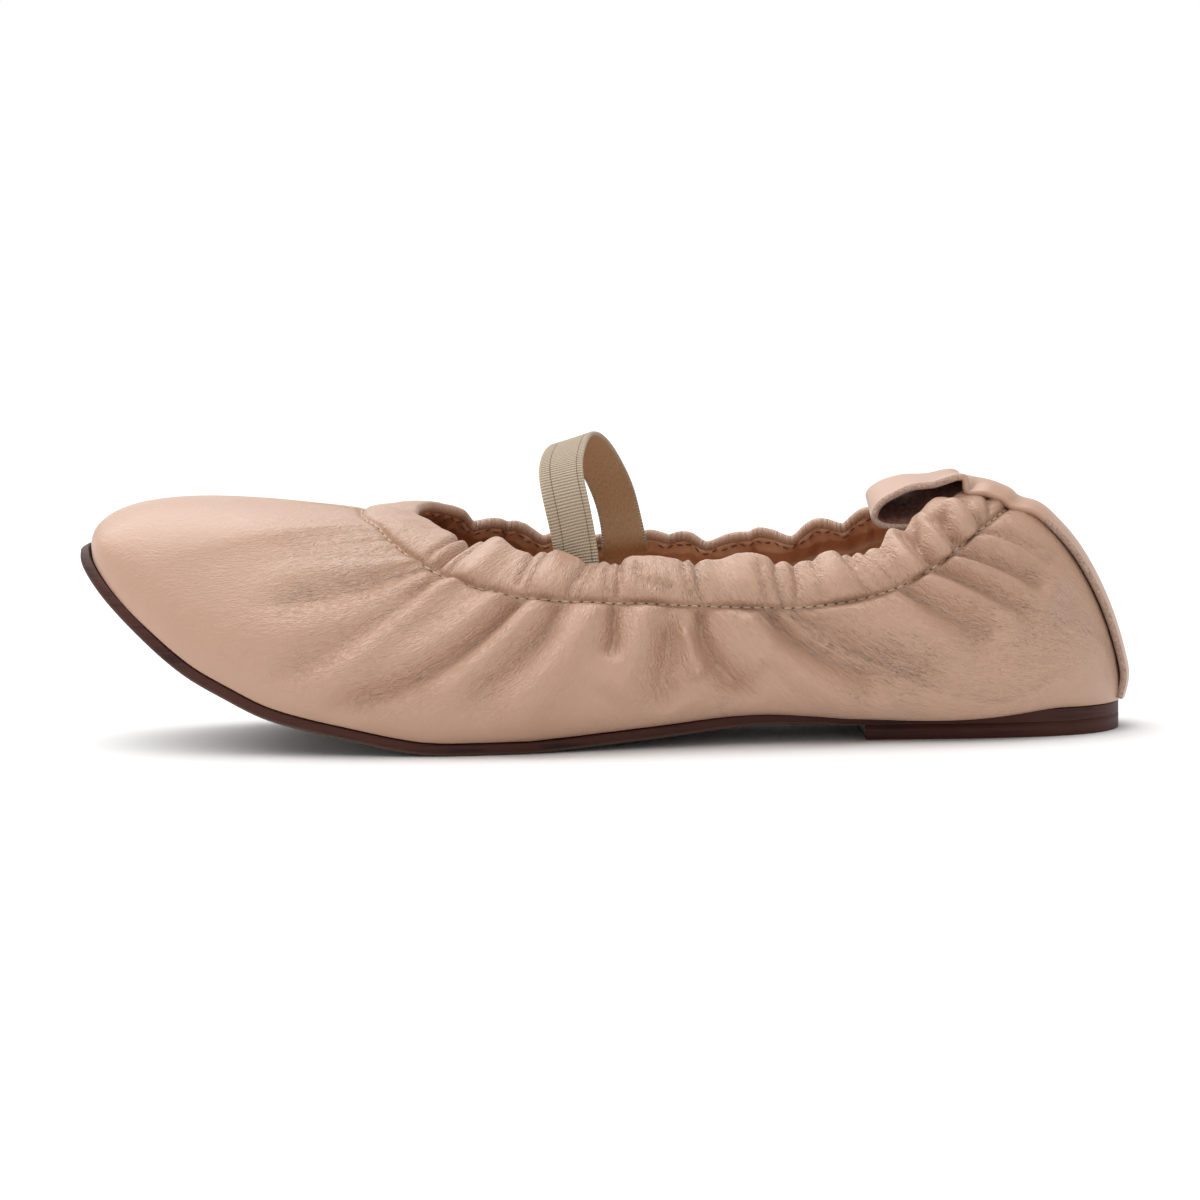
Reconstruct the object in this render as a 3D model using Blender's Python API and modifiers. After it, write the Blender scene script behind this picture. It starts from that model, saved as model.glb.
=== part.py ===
"""Gathered ballet flat, left shoe, standing empty on its sole.

Frame: metres, +Z up, toe towards -X, outer (lateral) side towards -Y, ground at Z = 0.
The upper is a ring of leather round the foot, from a flange turned in under the insole,
out over the edge of the sole and up to the elastic topline band. Its sections stand round
the sole's outline; u runs once round from the heel back along the outer side.
"""

import bmesh
import bpy
import numpy as np

# Driving sizes
LENGTH = 0.2385
HEEL_BACK = 0.1180
BALL_WIDTH = 0.0820
TOE_SPRING = 0.0435
ARCH_RISE = 0.0015
HEEL_LIFT = 0.0032
LIFT_LENGTH = 0.0600
SOLE_THICKNESS = 0.0027
INSOLE_THICKNESS = 0.0015
EDGE_REACH = 0.0004
FLANGE = 0.0036
WALL = 0.0016
BAND_WALL = 0.0026
COLLAR_HEIGHT = 0.0430
BAND_WIDTH = 0.0100
BAND_PUFF = 0.0011
GATHER = 0.0018
GATHER_LENGTH = 0.0052
GAP = 0.0003
INSOLE_CLEARANCE = 0.0007
STRAP_CLEARANCE = 0.0006
STRIP_CLEARANCE = 0.0005
STRIP_WIDTH = 0.0180
STRIP_THICKNESS = 0.0016
LOOP_LENGTH = 0.0218
LOOP_HEIGHT = 0.0082
STRAP_WIDTH = 0.0095
STRAP_THICKNESS = 0.0011
STRAP_RISE = 0.0272
STRAP_TUCK = 0.0110

# Mesh density
AROUND = 120
UP_BODY = 11
UP_BAND = 4
SOLE_ROWS = 44
SOLE_COLUMNS = 8
STRAP_COLUMNS = 4
STRIP_COLUMNS = 6
STRIP_ROWS = (0.05, 0.22, 0.40, 0.55, 0.70, 0.80, 0.90, 1.00, 1.10, 1.30, 1.55, 1.80)
STRIP_LINES = 60
STRAP_LINES = 40
COURSE_SAMPLES = 600
OUTLINE_SAMPLES = 720
STRIP_SAMPLES = 80
TOPLINE_SAMPLES = 400
LEG_ROWS = 4
MERGE = 0.00001

# Steps to either side over which a direction is measured: in metres, and as shares of u and of v
REACH = 0.0008
REACH_ROUND = 0.001
REACH_UP = 0.02
REACH_STRAP = 0.01

# Part of u, to either side of the heel back, that the heel strip covers, and the topline's
# part of u along the outer (-1) and inner (1) side, from the heel forwards
STRIP_SEARCH = 0.06
TOPLINE_SIDES = {-1: (0.02, 0.45), 1: (0.98, 0.60)}

# The band's roundness where the elastic makes no puff, as a share of its roundness at a full puff
BAND_REST = 0.6

# Base colour and roughness of each piece
FINISHES = {
    "outsole": ((0.055, 0.016, 0.012), 0.55),
    "heel": ((0.070, 0.025, 0.018), 0.60),
    "insole": ((0.45, 0.25, 0.17), 0.70),
    "upper": ((0.62, 0.38, 0.27), 0.45),
    "heel_strip": ((0.40, 0.26, 0.20), 0.60),
    "strap": ((0.68, 0.57, 0.44), 0.85),
}

# Underside of the outsole on the centre line, from the heel back to the toe tip
SOLE_LINE = (
    # share of length, of heel lift, of arch rise, of toe spring
    (0.000, 1.00, 0.00, 0.000),
    (0.255, 1.00, 0.00, 0.000),
    (0.300, 1.00, 0.15, 0.000),
    (0.345, 0.90, 0.55, 0.000),
    (0.376, 0.85, 0.45, 0.000),
    (0.438, 0.50, 0.35, 0.000),
    (0.500, 0.22, 0.25, 0.000),
    (0.545, 0.06, 0.10, 0.000),
    (0.571, 0.00, 0.00, 0.000),
    (0.640, 0.00, 0.00, 0.000),
    (0.665, 0.00, 0.00, 0.007),
    (0.688, 0.00, 0.00, 0.026),
    (0.735, 0.00, 0.00, 0.080),
    (0.785, 0.00, 0.00, 0.142),
    (0.815, 0.00, 0.00, 0.192),
    (0.855, 0.00, 0.00, 0.298),
    (0.888, 0.00, 0.00, 0.398),
    (0.935, 0.00, 0.00, 0.600),
    (0.963, 0.00, 0.00, 0.740),
    (0.983, 0.00, 0.00, 0.862),
    (0.994, 0.00, 0.00, 0.942),
    (1.000, 0.00, 0.00, 1.000),
)

# Sections round the shoe. Along is a share of the sole's unrolled length and across a share
# of the ball width, outer side negative. The wall leaves the sole's edge by out and up, and
# comes into the seam along crown, all shares of the collar height. The rim's x is a share of
# the length, its y of the ball width and its z of the collar height. Lean is the band's
# angle from upright in degrees, band its width as a share of the band width, and fall how
# many degrees more the wall leans where it comes into the seam.
SECTIONS = (
    # along, across, out, up, crown, rim_x, rim_y, rim_z, lean, band, fall
    (0.000, 0.000, 0.05, 0.25, 0.36, 0.145, 0.000, 1.302, 70, 1.12, 8),
    (0.026, -0.190, 0.08, 0.18, 0.36, 0.162, -0.117, 1.233, 57, 1.02, 4),
    (0.091, -0.272, 0.22, -0.10, 0.34, 0.194, -0.201, 1.107, 48, 1.06, -6),
    (0.200, -0.280, 0.26, -0.18, 0.32, 0.255, -0.287, 0.963, 35, 1.04, -12),
    (0.340, -0.317, 0.22, -0.04, 0.28, 0.353, -0.329, 0.949, 31, 1.13, -12),
    (0.460, -0.420, 0.16, 0.02, 0.28, 0.462, -0.341, 0.953, 40, 1.09, -12),
    (0.600, -0.500, 0.14, 0.08, 0.34, 0.558, -0.311, 1.014, 50, 1.40, -6),
    (0.735, -0.457, 0.13, 0.14, 0.48, 0.619, -0.220, 1.077, 64, 1.48, 2),
    (0.850, -0.372, 0.13, 0.18, 0.60, 0.651, -0.134, 1.140, 76, 1.35, 7),
    (0.940, -0.250, 0.18, 0.16, 0.70, 0.665, -0.073, 1.181, 83, 1.26, 10),
    (0.988, -0.115, 0.26, 0.14, 0.76, 0.672, -0.024, 1.200, 88, 1.32, 10),
    (1.000, 0.030, 0.29, 0.13, 0.77, 0.672, 0.024, 1.209, 91, 1.36, 9),
    (0.985, 0.170, 0.26, 0.14, 0.76, 0.672, 0.073, 1.221, 89, 1.31, 10),
    (0.940, 0.280, 0.18, 0.16, 0.70, 0.668, 0.134, 1.233, 81, 1.22, 12),
    (0.850, 0.372, 0.13, 0.18, 0.60, 0.653, 0.207, 1.214, 72, 1.27, 10),
    (0.735, 0.452, 0.13, 0.14, 0.48, 0.621, 0.287, 1.149, 61, 1.30, 4),
    (0.600, 0.440, 0.14, 0.08, 0.36, 0.550, 0.341, 1.065, 46, 1.27, -4),
    (0.460, 0.315, 0.20, 0.02, 0.32, 0.454, 0.348, 1.019, 37, 1.09, -12),
    (0.340, 0.235, 0.26, -0.04, 0.32, 0.349, 0.323, 1.021, 31, 1.09, -12),
    (0.200, 0.268, 0.25, -0.14, 0.34, 0.257, 0.268, 1.100, 34, 1.12, -12),
    (0.091, 0.272, 0.20, -0.06, 0.34, 0.196, 0.195, 1.205, 49, 1.12, -4),
    (0.026, 0.190, 0.08, 0.18, 0.36, 0.160, 0.116, 1.272, 56, 1.02, 4),
)

# Puffs that the elastic gathers into the topline: place along the shoe and size
GATHERS = (
    # side, share of length from the heel back, share of the gather height
    (-1, 0.188, 1.0),
    (-1, 0.214, 0.9),
    (-1, 0.251, 0.6),
    (-1, 0.284, 0.8),
    (-1, 0.353, 1.0),
    (-1, 0.415, 1.0),
    (-1, 0.468, 1.0),
    (-1, 0.545, 0.5),
    (-1, 0.611, 0.7),
    (1, 0.190, 0.8),
    (1, 0.236, 0.9),
    (1, 0.284, 1.0),
    (1, 0.345, 1.0),
    (1, 0.415, 0.7),
    (1, 0.452, 0.9),
    (1, 0.520, 0.6),
    (1, 0.589, 0.9),
    (1, 0.640, 0.6),
)

# The pull loop's course from the top of the heel, out over the foot, down and back
LOOP_COURSE = (
    # share of loop length forward, of loop height up, of loop height that the inner side is raised
    (0.05, 0.20, 0.02),
    (0.34, 0.16, 0.12),
    (0.60, 0.10, 0.18),
    (0.80, -0.06, 0.29),
    (0.94, -0.27, 0.34),
    (1.00, -0.52, 0.40),
    (1.00, -0.70, 0.36),
    (0.95, -0.88, 0.25),
    (0.80, -1.00, 0.20),
    (0.62, -0.98, 0.15),
    (0.43, -0.70, 0.10),
    (0.28, -0.36, 0.05),
)

# The strap's course between the places where it leaves the topline
STRAP_COURSE = (
    # share of the way across, of strap rise up, of strap width: towards the toe, heel side raised
    (0.020, 0.545, 0.21, 0.00),
    (0.080, 0.770, 0.40, 0.10),
    (0.270, 0.950, 0.55, 0.22),
    (0.500, 1.000, 0.60, 0.32),
    (0.690, 0.905, 0.50, 0.32),
    (0.830, 0.700, 0.33, 0.22),
    (0.920, 0.480, 0.18, 0.10),
    (0.970, 0.220, 0.06, 0.00),
)
STRAP_OUTER_PLACE = 0.522
STRAP_INNER_PLACE = 0.475


def unit(vectors):
    return vectors / np.linalg.norm(vectors, axis=-1, keepdims=True)


def chord_knots(points):
    steps = np.linalg.norm(np.diff(points, axis=0), axis=1)
    return np.concatenate([[0.0], np.cumsum(steps)]) / steps.sum()


def steady_curve(points, at):
    """Cubic through the points, by share of the chord length, that never overshoots them."""
    knots = chord_knots(points)
    step = np.diff(knots)[:, None]
    slope = np.diff(points, axis=0) / step
    before, after = slope[:-1], slope[1:]
    same_way = before * after > 0
    total = np.where(same_way, before + after, 1.0)
    middle = np.where(same_way, 2 * before * after / total, 0.0)
    tangent = np.vstack([slope[:1], middle, slope[-1:]])
    i = np.clip(np.searchsorted(knots, at, side="right") - 1, 0, len(step) - 1)
    t = (at - knots[i])[:, None] / step[i]
    from_point = points[i] * (1 + 2 * t) * (1 - t) ** 2 + points[i + 1] * t * t * (3 - 2 * t)
    from_slope = step[i] * (tangent[i] * t * (1 - t) ** 2 - tangent[i + 1] * t * t * (1 - t))
    return from_point + from_slope


def spline(points, at, closed=False):
    """Smooth cubic through the points, by share of the chord length of its first two columns."""
    ring = np.vstack([points, points[:1]]) if closed else points
    knots = chord_knots(ring[:, :2] if closed else ring)
    step = np.diff(knots)
    slope = np.diff(ring, axis=0) / step[:, None]
    count = len(ring)
    matrix = np.eye(count)
    right = np.zeros_like(ring)
    for i in range(1, count - 1):
        matrix[i, i - 1 : i + 2] = step[i - 1], 2 * (step[i - 1] + step[i]), step[i]
        right[i] = 6 * (slope[i] - slope[i - 1])
    if closed:
        matrix[0, 0], matrix[0, 1] = 2 * (step[-1] + step[0]), step[0]
        matrix[0, -2] = step[-1]
        right[0] = 6 * (slope[0] - slope[-1])
        matrix[-1, 0] = -1
    bend = np.linalg.solve(matrix, right)
    at = at % 1.0 if closed else at
    i = np.clip(np.searchsorted(knots, at, side="right") - 1, 0, count - 2)
    h = step[i][:, None]
    done = (at - knots[i])[:, None]
    left = h - done
    curve = bend[i] * left**3 / (6 * h) + bend[i + 1] * done**3 / (6 * h)
    return curve + (ring[i] / h - bend[i] * h / 6) * left + (ring[i + 1] / h - bend[i + 1] * h / 6) * done


def sole_centre_line():
    """Share of the unrolled length, and the underside's x and z there."""
    table = np.array(SOLE_LINE)
    height = table[:, 1] * (HEEL_LIFT + GAP) + table[:, 2] * ARCH_RISE + table[:, 3] * TOE_SPRING
    points = np.stack([HEEL_BACK - table[:, 0] * LENGTH, height], axis=1)
    course = steady_curve(points, np.linspace(0, 1, COURSE_SAMPLES))
    run = np.concatenate([[0], np.cumsum(np.linalg.norm(np.diff(course, axis=0), axis=1))])
    return run, course[:, 0], course[:, 1]


RUN, RUN_X, RUN_Z = sole_centre_line()
UNROLLED = RUN[-1]


def sole_frame(along):
    """The sole's direction towards the toe and the direction square to it, at metres along."""
    before, after = np.clip(along - REACH, 0, UNROLLED), np.clip(along + REACH, 0, UNROLLED)
    run_x = np.interp(after, RUN, RUN_X) - np.interp(before, RUN, RUN_X)
    run_z = np.interp(after, RUN, RUN_Z) - np.interp(before, RUN, RUN_Z)
    forward = unit(np.stack([run_x, np.zeros_like(run_x), run_z], axis=-1))
    square = np.stack([forward[..., 2], np.zeros_like(run_x), -forward[..., 0]], axis=-1)
    return forward, square


def on_sole(along, across, lift):
    """The point at metres along and across the unrolled sole, lift above its underside."""
    foot = np.stack([np.interp(along, RUN, RUN_X), across, np.interp(along, RUN, RUN_Z)], axis=-1)
    return foot + lift * sole_frame(along)[1]


def round_shoe(u):
    """The table of sections, interpolated smoothly round the shoe, in metres where it says so."""
    scale = np.ones(len(SECTIONS[0]))
    scale[:2] = UNROLLED, BALL_WIDTH
    scale[5:8] = LENGTH, BALL_WIDTH, COLLAR_HEIGHT
    scale[9] = BAND_WIDTH
    return spline(np.array(SECTIONS) * scale, u, True)


def ring_outward(u, columns):
    """Outward direction, in plan, of the closed curve that two columns of the table make."""
    tangent = unit(round_shoe(u + REACH_ROUND)[:, columns] - round_shoe(u - REACH_ROUND)[:, columns])
    return np.stack([tangent[:, 1], -tangent[:, 0]], axis=1)


def outline(u, inset):
    """The sole's outline on its unrolled plane, moved in by inset."""
    return round_shoe(u)[:, :2] - ring_outward(u, [0, 1]) * inset


def gather_at(x, y):
    """How far a topline point is puffed up, as a share of the gather height."""
    puff = np.zeros_like(x)
    for side, place, size in GATHERS:
        away = (x - (HEEL_BACK - place * LENGTH)) / GATHER_LENGTH
        puff += np.where(np.sign(y) == side, size * np.exp(-(away**2)), 0.0)
    return puff


def wall_section(u):
    """The named points of the wall's sections, each an array with a row for each u."""
    flat = outline(u, -EDGE_REACH)
    inner_flat = outline(u, FLANGE - EDGE_REACH)
    outward = ring_outward(u, [0, 1])
    forward, square = sole_frame(flat[:, 0])
    out = outward[:, :1] * forward + outward[:, 1:] * np.array([0.0, 1.0, 0.0])
    out_share, up_share, crown, rim_x, rim_y, rim_z, lean, band, fall = round_shoe(u)[:, 2:].T[:, :, None]
    rim = np.hstack([HEEL_BACK - rim_x, rim_y, rim_z])
    plan = ring_outward(u, [5, 6])
    plan = np.stack([-plan[:, 0], plan[:, 1], np.zeros(len(u))], axis=1)
    upright = np.array([0.0, 0.0, 1.0])
    lean, fall = np.radians(lean), np.radians(lean + fall)
    rise = np.cos(lean) * upright - np.sin(lean) * plan
    arrival = np.cos(fall) * upright - np.sin(fall) * plan
    face = np.sin(lean) * upright + np.cos(lean) * plan
    puff = gather_at(rim[:, 0], rim[:, 1])[:, None]
    seam = rim - rise * band
    edge = on_sole(flat[:, 0], flat[:, 1], SOLE_THICKNESS + GAP)
    return {
        "flange": on_sole(inner_flat[:, 0], inner_flat[:, 1], SOLE_THICKNESS + GAP),
        "edge": edge,
        "leave": edge + (out * out_share + square * up_share) * COLLAR_HEIGHT,
        "arrive": seam - arrival * crown * COLLAR_HEIGHT,
        "seam": seam,
        "rim": rim + rise * puff * GATHER,
        "face": face,
        "puff": puff,
    }


def wall_row(section, v):
    """The outer face at height v: -1 flange, 0 sole edge, 1 seam, 2 rim."""
    if v < 0:
        return section["edge"] + (section["edge"] - section["flange"]) * v
    if v <= 1:
        handles = section["edge"], section["leave"], section["arrive"], section["seam"]
        shares = (1 - v) ** 3, 3 * v * (1 - v) ** 2, 3 * v * v * (1 - v), v**3
        return sum(share * handle for share, handle in zip(shares, handles))
    w = v - 1
    bulge = BAND_PUFF * np.sin(np.pi * w) * (BAND_REST + section["puff"])
    return section["seam"] + (section["rim"] - section["seam"]) * w + section["face"] * bulge


def wall_normal(u, v):
    """Outward direction of the wall's face at places u of the height v."""
    across = wall_row(wall_section(u + REACH_ROUND), v) - wall_row(wall_section(u - REACH_ROUND), v)
    section = wall_section(u)
    up = wall_row(section, v) - wall_row(section, v - REACH_UP)
    return unit(np.cross(up, across))


def wall_face(u, v, out):
    """Points of the wall's face at places u of the height v, moved outwards."""
    return wall_row(wall_section(u), v) + wall_normal(u, v) * out


def place_on_topline(side, share):
    """The u whose topline point is a share of the length from the heel back, on one side."""
    first, last = TOPLINE_SIDES[side]
    u = np.linspace(first, last, TOPLINE_SAMPLES)
    return np.interp(share * LENGTH, round_shoe(u)[:, 5], u)


def loft(name, rows, ring=False):
    """A sheet of quads through rows of points, closed on itself where it is a ring."""
    mesh = bpy.data.meshes.new(name)
    shape = bmesh.new()
    lines = [[shape.verts.new(point) for point in row] for row in rows]
    last = len(lines[0]) if ring else len(lines[0]) - 1
    for low, high in zip(lines, lines[1:]):
        for i in range(last):
            j = (i + 1) % len(low)
            shape.faces.new((low[i], low[j], high[j], high[i]))
    bmesh.ops.remove_doubles(shape, verts=shape.verts, dist=MERGE)
    shape.to_mesh(mesh)
    shape.free()
    return mesh


def finish(name, mesh, thickness, offset):
    """Gives the sheet its wall, its own material and its place in the collection."""
    colour, roughness = FINISHES[name]
    piece = bpy.data.objects.new(name, mesh)
    bpy.data.collections["ballet_flat"].objects.link(piece)
    material = bpy.data.materials.new(name)
    material.use_nodes = True
    shader = material.node_tree.nodes["Principled BSDF"]
    shader.inputs["Base Color"].default_value = (*colour, 1.0)
    shader.inputs["Roughness"].default_value = roughness
    mesh.materials.append(material)
    mesh.shade_smooth()
    wall = piece.modifiers.new("wall", "SOLIDIFY")
    wall.thickness = thickness
    wall.offset = offset
    return piece


def sole_sheet(name, inset, lift, reach):
    """A sheet the shape of the sole, from the heel back forward by reach, lift above its underside."""
    flat = outline(np.linspace(0, 1, OUTLINE_SAMPLES, endpoint=False), inset)
    tip = np.argmax(flat[:, 0])
    outer, inner = flat[: tip + 1], flat[tip:][::-1]
    start, end = flat[:, 0].min(), min(flat[:, 0].max(), reach)
    turn = np.pi if end < reach else np.pi / 2
    share = (1 - np.cos(np.linspace(0, turn, SOLE_ROWS))) / (1 - np.cos(turn))
    rows = []
    for along in start + (end - start) * share:
        edges = [np.interp(along, side[:, 0], side[:, 1]) for side in (outer, inner)]
        across = np.linspace(*edges, SOLE_COLUMNS + 1)
        rows.append(on_sole(np.full_like(across, along), across, lift))
    return loft(name, rows)


def make_outsole():
    mesh = sole_sheet("outsole", 0.0, 0.0, np.inf)
    finish("outsole", mesh, SOLE_THICKNESS, 1)


def make_heel():
    mesh = sole_sheet("heel", 0.0, -GAP, LIFT_LENGTH)
    finish("heel", mesh, HEEL_LIFT, -1)


def make_insole():
    inset = FLANGE - EDGE_REACH + INSOLE_CLEARANCE
    mesh = sole_sheet("insole", inset, SOLE_THICKNESS + GAP, np.inf)
    finish("insole", mesh, INSOLE_THICKNESS, 1)


def make_upper():
    u = np.linspace(1, 0, AROUND, endpoint=False)
    heights = [-1, *np.linspace(0, 1, UP_BODY + 1), *np.linspace(1, 2, UP_BAND + 1)[1:]]
    section = wall_section(u)
    mesh = loft("upper", [wall_row(section, v) for v in heights], True)
    piece = finish("upper", mesh, BAND_WALL, -1)
    group = piece.vertex_groups.new(name="wall")
    for row, v in enumerate(heights):
        share = 1.0 if v > 1 else WALL / BAND_WALL
        group.add(range(row * AROUND, (row + 1) * AROUND), share, "REPLACE")
    piece.modifiers["wall"].vertex_group = "wall"


def smooth_rows(rows, count):
    """Runs a smooth curve through each column of a sheet's rows, for count rows."""
    columns = np.swapaxes(np.array(rows), 0, 1)
    return np.swapaxes([spline(column, np.linspace(0, 1, count)) for column in columns], 0, 1)


def make_heel_strip():
    """Covers the back seam, passes over the topline and folds back as the pull loop."""
    widths = np.linspace(0.5, -0.5, STRIP_COLUMNS + 1) * STRIP_WIDTH
    near_back = np.linspace(-STRIP_SEARCH, STRIP_SEARCH, STRIP_SAMPLES)
    rows = []
    for v in STRIP_ROWS:
        face = wall_face(near_back, v, STRIP_CLEARANCE + STRIP_THICKNESS / 2)
        rows.append(np.stack([np.interp(-widths, -face[:, 1], axis) for axis in face.T], axis=1))
    top = wall_row(wall_section(np.array([0.0])), 2)[0]
    for forward, up, tilt in LOOP_COURSE:
        x = np.full_like(widths, top[0] - forward * LOOP_LENGTH)
        rows.append(np.stack([x, widths, top[2] + LOOP_HEIGHT * (up + tilt * widths / STRIP_WIDTH)], axis=1))
    mesh = loft("heel_strip", smooth_rows(rows, STRIP_LINES))
    finish("heel_strip", mesh, STRIP_THICKNESS, 0)


def strap_leg(u, side):
    """Rows of the strap's end, hidden between the foot and the topline band, bottom first."""
    ends = wall_row(wall_section(np.array([u - REACH_STRAP, u + REACH_STRAP])), 2)
    spread = STRAP_WIDTH * 2 * REACH_STRAP / np.linalg.norm(ends[1] - ends[0])
    places = u - side * np.linspace(-0.5, 0.5, STRAP_COLUMNS + 1) * spread
    inside = -(BAND_WALL + STRAP_CLEARANCE + STRAP_THICKNESS / 2)
    lowest = 2 - STRAP_TUCK / BAND_WIDTH
    return [wall_face(places, v, inside) for v in np.linspace(lowest, 2, LEG_ROWS)]


def make_strap():
    """Elastic over the instep, its ends sewn inside the topline band."""
    outer = strap_leg(place_on_topline(-1, STRAP_OUTER_PLACE), -1)
    inner = strap_leg(place_on_topline(1, STRAP_INNER_PLACE), 1)
    start, end = outer[-1].mean(axis=0), inner[-1].mean(axis=0)
    course = np.array(STRAP_COURSE)
    centre = start + (end - start) * course[:, :1]
    centre += course[:, 1:2] * np.array([0.0, 0.0, STRAP_RISE])
    centre += course[:, 2:3] * np.array([-STRAP_WIDTH, 0.0, 0.0])
    forward = unit(np.gradient(centre, axis=0))
    toeward = np.array([-1.0, 0.0, 0.0]) - course[:, 3:] * np.array([0.0, 0.0, 1.0])
    widthways = unit(toeward - np.sum(toeward * forward, axis=1)[:, None] * forward)
    spread = np.linspace(-0.5, 0.5, STRAP_COLUMNS + 1) * STRAP_WIDTH
    arch = [point + spread[:, None] * width for point, width in zip(centre, widthways)]
    mesh = loft("strap", smooth_rows([*outer, *arch, *inner[::-1]], STRAP_LINES))
    finish("strap", mesh, STRAP_THICKNESS, 0)


def clear_scene():
    for old in list(bpy.data.objects):
        bpy.data.objects.remove(old)
    collection = bpy.data.collections.new("ballet_flat")
    bpy.context.scene.collection.children.link(collection)


clear_scene()
make_outsole()
make_heel()
make_insole()
make_upper()
make_heel_strip()
make_strap()
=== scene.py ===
import math

import bmesh
import bpy
import numpy as np
from mathutils import Matrix, Vector


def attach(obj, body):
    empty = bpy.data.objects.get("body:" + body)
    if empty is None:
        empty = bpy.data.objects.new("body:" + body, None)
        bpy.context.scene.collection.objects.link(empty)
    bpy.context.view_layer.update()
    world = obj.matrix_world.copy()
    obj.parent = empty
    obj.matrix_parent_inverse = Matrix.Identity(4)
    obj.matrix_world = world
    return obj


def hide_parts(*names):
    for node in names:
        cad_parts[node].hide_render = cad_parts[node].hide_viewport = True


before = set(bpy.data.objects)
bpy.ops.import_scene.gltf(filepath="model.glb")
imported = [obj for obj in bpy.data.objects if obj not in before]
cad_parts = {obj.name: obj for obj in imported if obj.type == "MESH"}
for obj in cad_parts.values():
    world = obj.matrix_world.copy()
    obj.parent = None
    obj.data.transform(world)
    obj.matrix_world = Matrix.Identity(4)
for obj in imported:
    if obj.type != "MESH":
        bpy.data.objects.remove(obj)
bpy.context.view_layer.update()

# The view: a long lens on the shoe's outer side, a little above the floor and rolled a little,
# as in the photo. The shoe stands on a pale seamless floor.
CAMERA_DISTANCE = 0.80
CAMERA_PITCH = math.radians(4.7)
CAMERA_ROLL = math.radians(0.9)
CAMERA_TARGET = Vector((-0.0013, 0.0, 0.0307))
CAMERA_LENS = 104.0
FLOOR_SIZE = 30.0

scene = bpy.context.scene
camera_data = bpy.data.cameras.new("camera")
camera_data.lens = CAMERA_LENS
camera_data.sensor_width = 36.0
camera_data.clip_end = 100.0
camera = bpy.data.objects.new("camera", camera_data)
scene.collection.objects.link(camera)
aim = Matrix.Rotation(math.pi / 2 - CAMERA_PITCH, 4, "X") @ Matrix.Rotation(-CAMERA_ROLL, 4, "Z")
camera.matrix_world = Matrix.Translation(CAMERA_TARGET) @ aim @ Matrix.Translation((0, 0, CAMERA_DISTANCE))
scene.camera = camera
scene.view_settings.view_transform = "Standard"


def srgb(code):
    """Linear colour of an sRGB hex code."""
    channels = [int(code[i : i + 2], 16) / 255 for i in (1, 3, 5)]
    return (*[c / 12.92 if c <= 0.04045 else ((c + 0.055) / 1.055) ** 2.4 for c in channels], 1.0)


def new_material(name, finish):
    """A new material, its shader's own values filled in, and the shader."""
    material = bpy.data.materials.new(name)
    material.use_nodes = True
    shader = material.node_tree.nodes["Principled BSDF"]
    for socket, value in finish.items():
        shader.inputs[socket].default_value = value
    return material, shader


def add_node(material, kind, inputs=None, feeds=None, stops=(), **settings):
    """Adds a shader node with its settings, fills or links its inputs, and links it to what it feeds."""
    node = material.node_tree.nodes.new(kind)
    for name, value in settings.items():
        setattr(node, name, value)
    for i, (position, code) in enumerate(stops):
        node.color_ramp.elements[i].position = position
        node.color_ramp.elements[i].color = srgb(code)
    for socket, value in (inputs or {}).items():
        value = value.outputs[0] if isinstance(value, bpy.types.Node) else value
        if isinstance(value, bpy.types.NodeSocket):
            material.node_tree.links.new(value, node.inputs[socket])
        else:
            node.inputs[socket].default_value = value
    if feeds is not None:
        material.node_tree.links.new(node.outputs[0], feeds)
    return node


# Matt white studio paper: even, with no gloss to mirror the sole.
paper_finish = {"Base Color": srgb("#ECECEC"), "Roughness": 0.9, "Specular IOR Level": 0.1}
paper = new_material("studio_paper", paper_finish)[0]
floor_shape = bmesh.new()
bmesh.ops.create_grid(floor_shape, x_segments=1, y_segments=1, size=FLOOR_SIZE / 2)
floor_mesh = bpy.data.meshes.new("floor")
floor_shape.to_mesh(floor_mesh)
floor_shape.free()
floor_mesh.materials.append(paper)
floor = bpy.data.objects.new("floor", floor_mesh)
scene.collection.objects.link(floor)

# The backdrop is white low down, and dimmer overhead, where the two diffusers take over
SKY_BRIGHT_TO = 0.17
SKY_DIM_FROM = 0.45
SKY_DIM = 0.42
world = bpy.data.worlds.new("studio")
world.use_nodes = True
world.node_tree.nodes["Background"].inputs["Color"].default_value = (1.0, 1.0, 1.0, 1.0)
sky_way = add_node(world, "ShaderNodeTexCoord").outputs["Generated"]
sky_height = add_node(world, "ShaderNodeSeparateXYZ", {0: sky_way}).outputs["Z"]
add_node(
    world,
    "ShaderNodeMapRange",
    {"Value": sky_height, 1: SKY_BRIGHT_TO, 2: SKY_DIM_FROM, 3: 1.0, 4: SKY_DIM},
    world.node_tree.nodes["Background"].inputs["Strength"],
)
scene.world = world

DIFFUSERS = (
    # name, direction it shines from, angle it fills, strength
    ("rear overhead", (-0.35, 0.55, 1.00), math.radians(70), 2.15),
    ("front overhead", (-0.30, -0.25, 1.00), math.radians(70), 1.6),
)
for light_name, source, angle, strength in DIFFUSERS:
    light = bpy.data.lights.new(light_name, "SUN")
    light.angle = angle
    light.energy = strength
    lamp = bpy.data.objects.new(light_name, light)
    scene.collection.objects.link(lamp)
    lamp.location = source
    lamp.rotation_euler = Vector(source).to_track_quat("Z", "Y").to_euler()


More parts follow.
